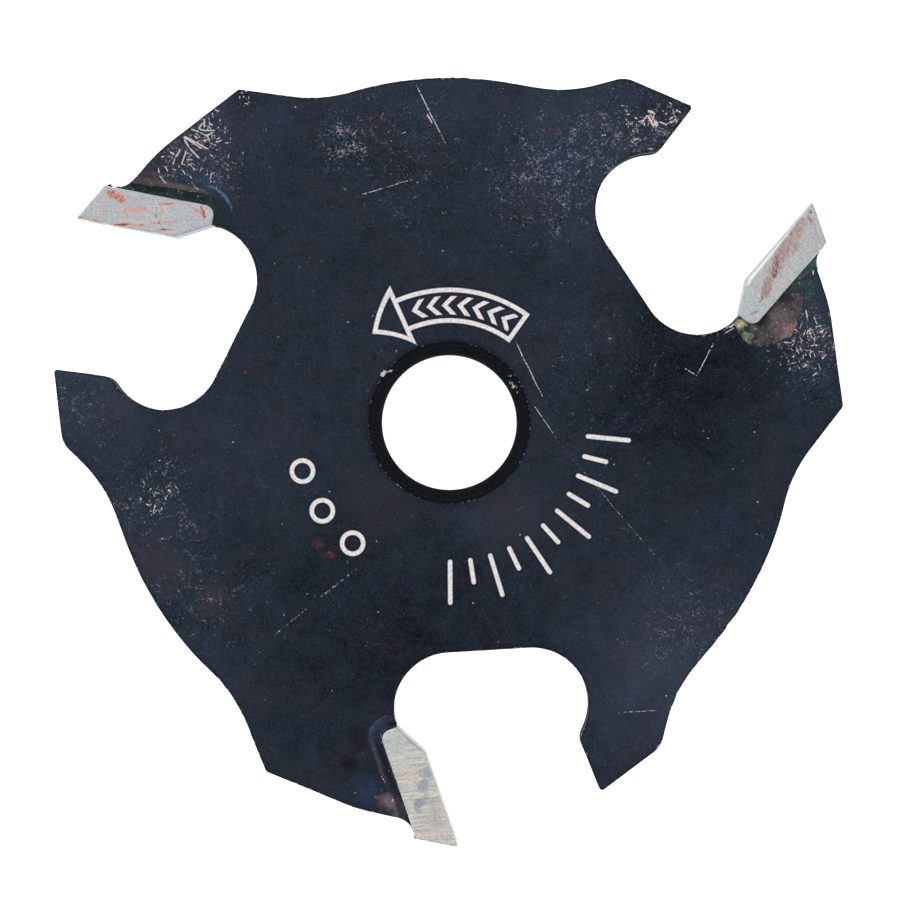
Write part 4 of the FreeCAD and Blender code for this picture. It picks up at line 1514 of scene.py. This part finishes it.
def stain_map(graph, stains, place, upper):
    """How strongly each place is stained, along strokes that noise has bent."""
    inputs = {"Vector": graph.spot, "Scale": 3.0}
    bend = graph.vector("SCALE", graph.node("ShaderNodeTexNoise", inputs).outputs["Color"], scale=STAIN_BEND)
    moved = graph.vector("ADD", place, bend)
    lines = []
    for start, end, width, strength in stains:
        start, end = np.add((start, end), STAIN_BEND / 2)
        lines.append(graph.times(graph.stroke(moved, start, end, width), strength))
    return graph.times(graph.most(lines), upper)


def stained(graph, base, wing, place, soft, upper):
    """The base colour with dirt, smears of flux and rust laid over it."""
    look = TIP_LOOKS[wing]
    hairs = graph.noise(1.0, 60 + wing, 4.0, 0.65, stretched(graph, place, 65, 0.36, 0.1))
    stain = graph.times(graph.line(graph.less(hairs, 0.5), 2.2, soft), graph.step(soft, 0.0, 0.2))
    base = graph.over(base, graph.times(graph.step(hairs, 0.6, 0.72), upper, look["dirt"]), *look["rust"])
    base = graph.over(base, graph.times(graph.step(stain, 0.05, 0.5), 0.85), *look["smear"])
    return graph.over(base, graph.times(graph.step(stain, 0.5, 0.95), 0.9), *look["rust"])


def tip_material(wing):
    """Ground hard metal: grinding lines, stains of flux and rust, painted light and shade on the ground
    strip and painted highlights on the edges.
    """
    graph = Graph(f"hard_metal_{wing}")
    rim, wall, strip = (graph.attribute(name) for name in ("rim", "wall", "strip"))
    place = tip_place(graph, wing)
    look = TIP_LOOKS[wing]
    upper = graph.step(graph.height, 1.9, 2.0)
    ground = graph.noise(1.0, 10 + wing, 4.0, 0.6, stretched(graph, place, look["lines"], 1.6, 0.11))
    fine = graph.noise(1.0, 20 + wing, 3.0, 0.6, stretched(graph, place, look["lines"] + 4, 0.7, 0.035))
    grain = graph.noise(9.0, 40 + wing, 2.0)
    tone = graph.line(graph.less(grain, 0.5), 0.9, graph.line(fine, 0.8, 0.5))
    base = graph.vector("SCALE", tip_colour(graph, wing, place, ground, upper), scale=tone)
    soft = stain_map(graph, look["stains"], place, upper)
    base = stained(graph, base, wing, place, soft, upper)
    # Painted light and shade on the sloping ground strip: lighter on tip 1, darker on tips 2 and 3
    base = graph.over(base, graph.times(strip, upper, look["strip"][3]), *look["strip"][:3])
    base = graph.over(base, graph.times(wall, 0.6), 120, 126, 130)
    # Painted highlights along the broken edges
    base = graph.over(base, graph.times(graph.step(rim, 0.1, 0.7), look["edge"][3]), *look["edge"][:3])
    roughness = graph.line(soft, 0.2, graph.line(fine, 0.3, 0.28))
    relief = graph.math("ADD", graph.math("ADD", ground, graph.times(fine, 0.8)), graph.times(grain, 0.25))
    return graph.finish(base, roughness, 0.85, relief, 0.006)


def braze_material(wing):
    """Old silver braze under dark flux, tinted by heat, with bright flecks, one painted highlight on tip 1's
    braze and a line of painted shade along the tip.
    """
    graph = Graph(f"braze_{wing}")
    across = graph.attribute("across")
    place = tip_place(graph, wing)
    look = BRAZE_LOOKS[wing]
    mottle = graph.noise(1.8, 70 + wing, 5.0, 0.65)
    fine = graph.noise(6.0, 75 + wing, 3.0, 0.75)
    first, second = (colour(*c) for c in look["colours"])
    base = graph.mix(graph.step(mottle, 0.4, 0.64), first, second)
    base = with_patches(graph, base, look, place, graph.sway(0.6, 2.4, 80 + wing, 4.0), 1.0)
    flecks = graph.step(graph.noise(4.5, 85 + wing, 2.0, 0.7), 0.62, 0.72)
    base = graph.over(base, graph.times(flecks, 0.7), *look["fleck"])
    # Painted shade: a near-black line in the crease where the braze meets the tip
    base = graph.over(base, graph.times(graph.step(across, 0.16, 0.0), 0.75), 14, 17, 20)
    base = graph.vector("SCALE", base, scale=graph.line(fine, 2.4, -0.2))
    roughness = graph.line(mottle, 0.35, 0.24)
    relief = graph.math("ADD", mottle, graph.times(fine, 0.4))
    return graph.finish(base, roughness, 0.8, relief, 0.05)


# ---------------------------------------------------------------- floor, light and camera

def floor():
    """A wide pale floor under the tips."""
    level = cad_box[0].z
    reach = 1.5
    mesh = bpy.data.meshes.new("floor")
    corners = [(x * reach, y * reach, level) for x, y in ((-1, -1), (1, -1), (1, 1), (-1, 1))]
    mesh.from_pydata(corners, [], [(0, 1, 2, 3)])
    material = bpy.data.materials.new("floor")
    material.use_nodes = True
    shader = material.node_tree.nodes["Principled BSDF"]
    shader.inputs["Base Color"].default_value = (0.85, 0.85, 0.85, 1)
    shader.inputs["Roughness"].default_value = 0.9
    shader.inputs["Specular IOR Level"].default_value = 0.1
    shader.inputs["Emission Color"].default_value = (1, 1, 1, 1)
    shader.inputs["Emission Strength"].default_value = FLOOR_GLOW
    mesh.materials.append(material)
    made = bpy.data.objects.new("floor", mesh)
    bpy.context.scene.collection.objects.link(made)


def sky():
    """Even white light from all round, brighter overhead than at the horizon."""
    world = bpy.data.worlds.new("studio")
    world.use_nodes = True
    tree = world.node_tree
    place = tree.nodes.new("ShaderNodeTexCoord")
    part = tree.nodes.new("ShaderNodeSeparateXYZ")
    level = tree.nodes.new("ShaderNodeMapRange")
    level.inputs["To Min"].default_value = SKY_HORIZON
    level.inputs["To Max"].default_value = SKY_OVERHEAD
    background = tree.nodes["Background"]
    tree.links.new(place.outputs["Generated"], part.inputs[0])
    tree.links.new(part.outputs["Z"], level.inputs["Value"])
    tree.links.new(level.outputs["Result"], background.inputs["Strength"])
    background.inputs["Color"].default_value = (1, 1, 1, 1)
    bpy.context.scene.world = world


def softbox(name, place, size, power, tint):
    """A square light that faces the object."""
    light = bpy.data.lights.new(name, "AREA")
    light.size = size
    light.energy = power
    light.color = tint
    made = bpy.data.objects.new(name, light)
    made.location = place
    made.rotation_euler = (-Vector(place)).to_track_quat("-Z", "Y").to_euler()
    bpy.context.scene.collection.objects.link(made)


def camera():
    """The photo's view: straight down on the upper face, turned a little."""
    lens = bpy.data.cameras.new("camera")
    lens.sensor_width = 36.0
    lens.lens = lens.sensor_width * VIEW_DISTANCE / VIEW_WIDTH
    made = bpy.data.objects.new("camera", lens)
    made.location = (VIEW_CENTRE[0] * MM, VIEW_CENTRE[1] * MM, (FACE + VIEW_DISTANCE) * MM)
    made.rotation_euler = (0, 0, math.radians(-VIEW_TURN))
    bpy.context.scene.collection.objects.link(made)
    bpy.context.scene.camera = made


def main():
    steel_body(steel_material())
    for wing in WINGS:
        hard_tip(wing, tip_material(wing))
        braze_joint(wing, braze_material(wing))
    floor()
    sky()
    softbox("key", (-0.16, 0.2, 0.5), 0.3, KEY_POWER, (1.0, 0.99, 0.97))
    softbox("fill", (0.3, -0.1, 0.35), 0.3, FILL_POWER, (0.95, 0.98, 1.0))
    camera()
    bpy.context.scene.view_settings.view_transform = "Standard"


main()
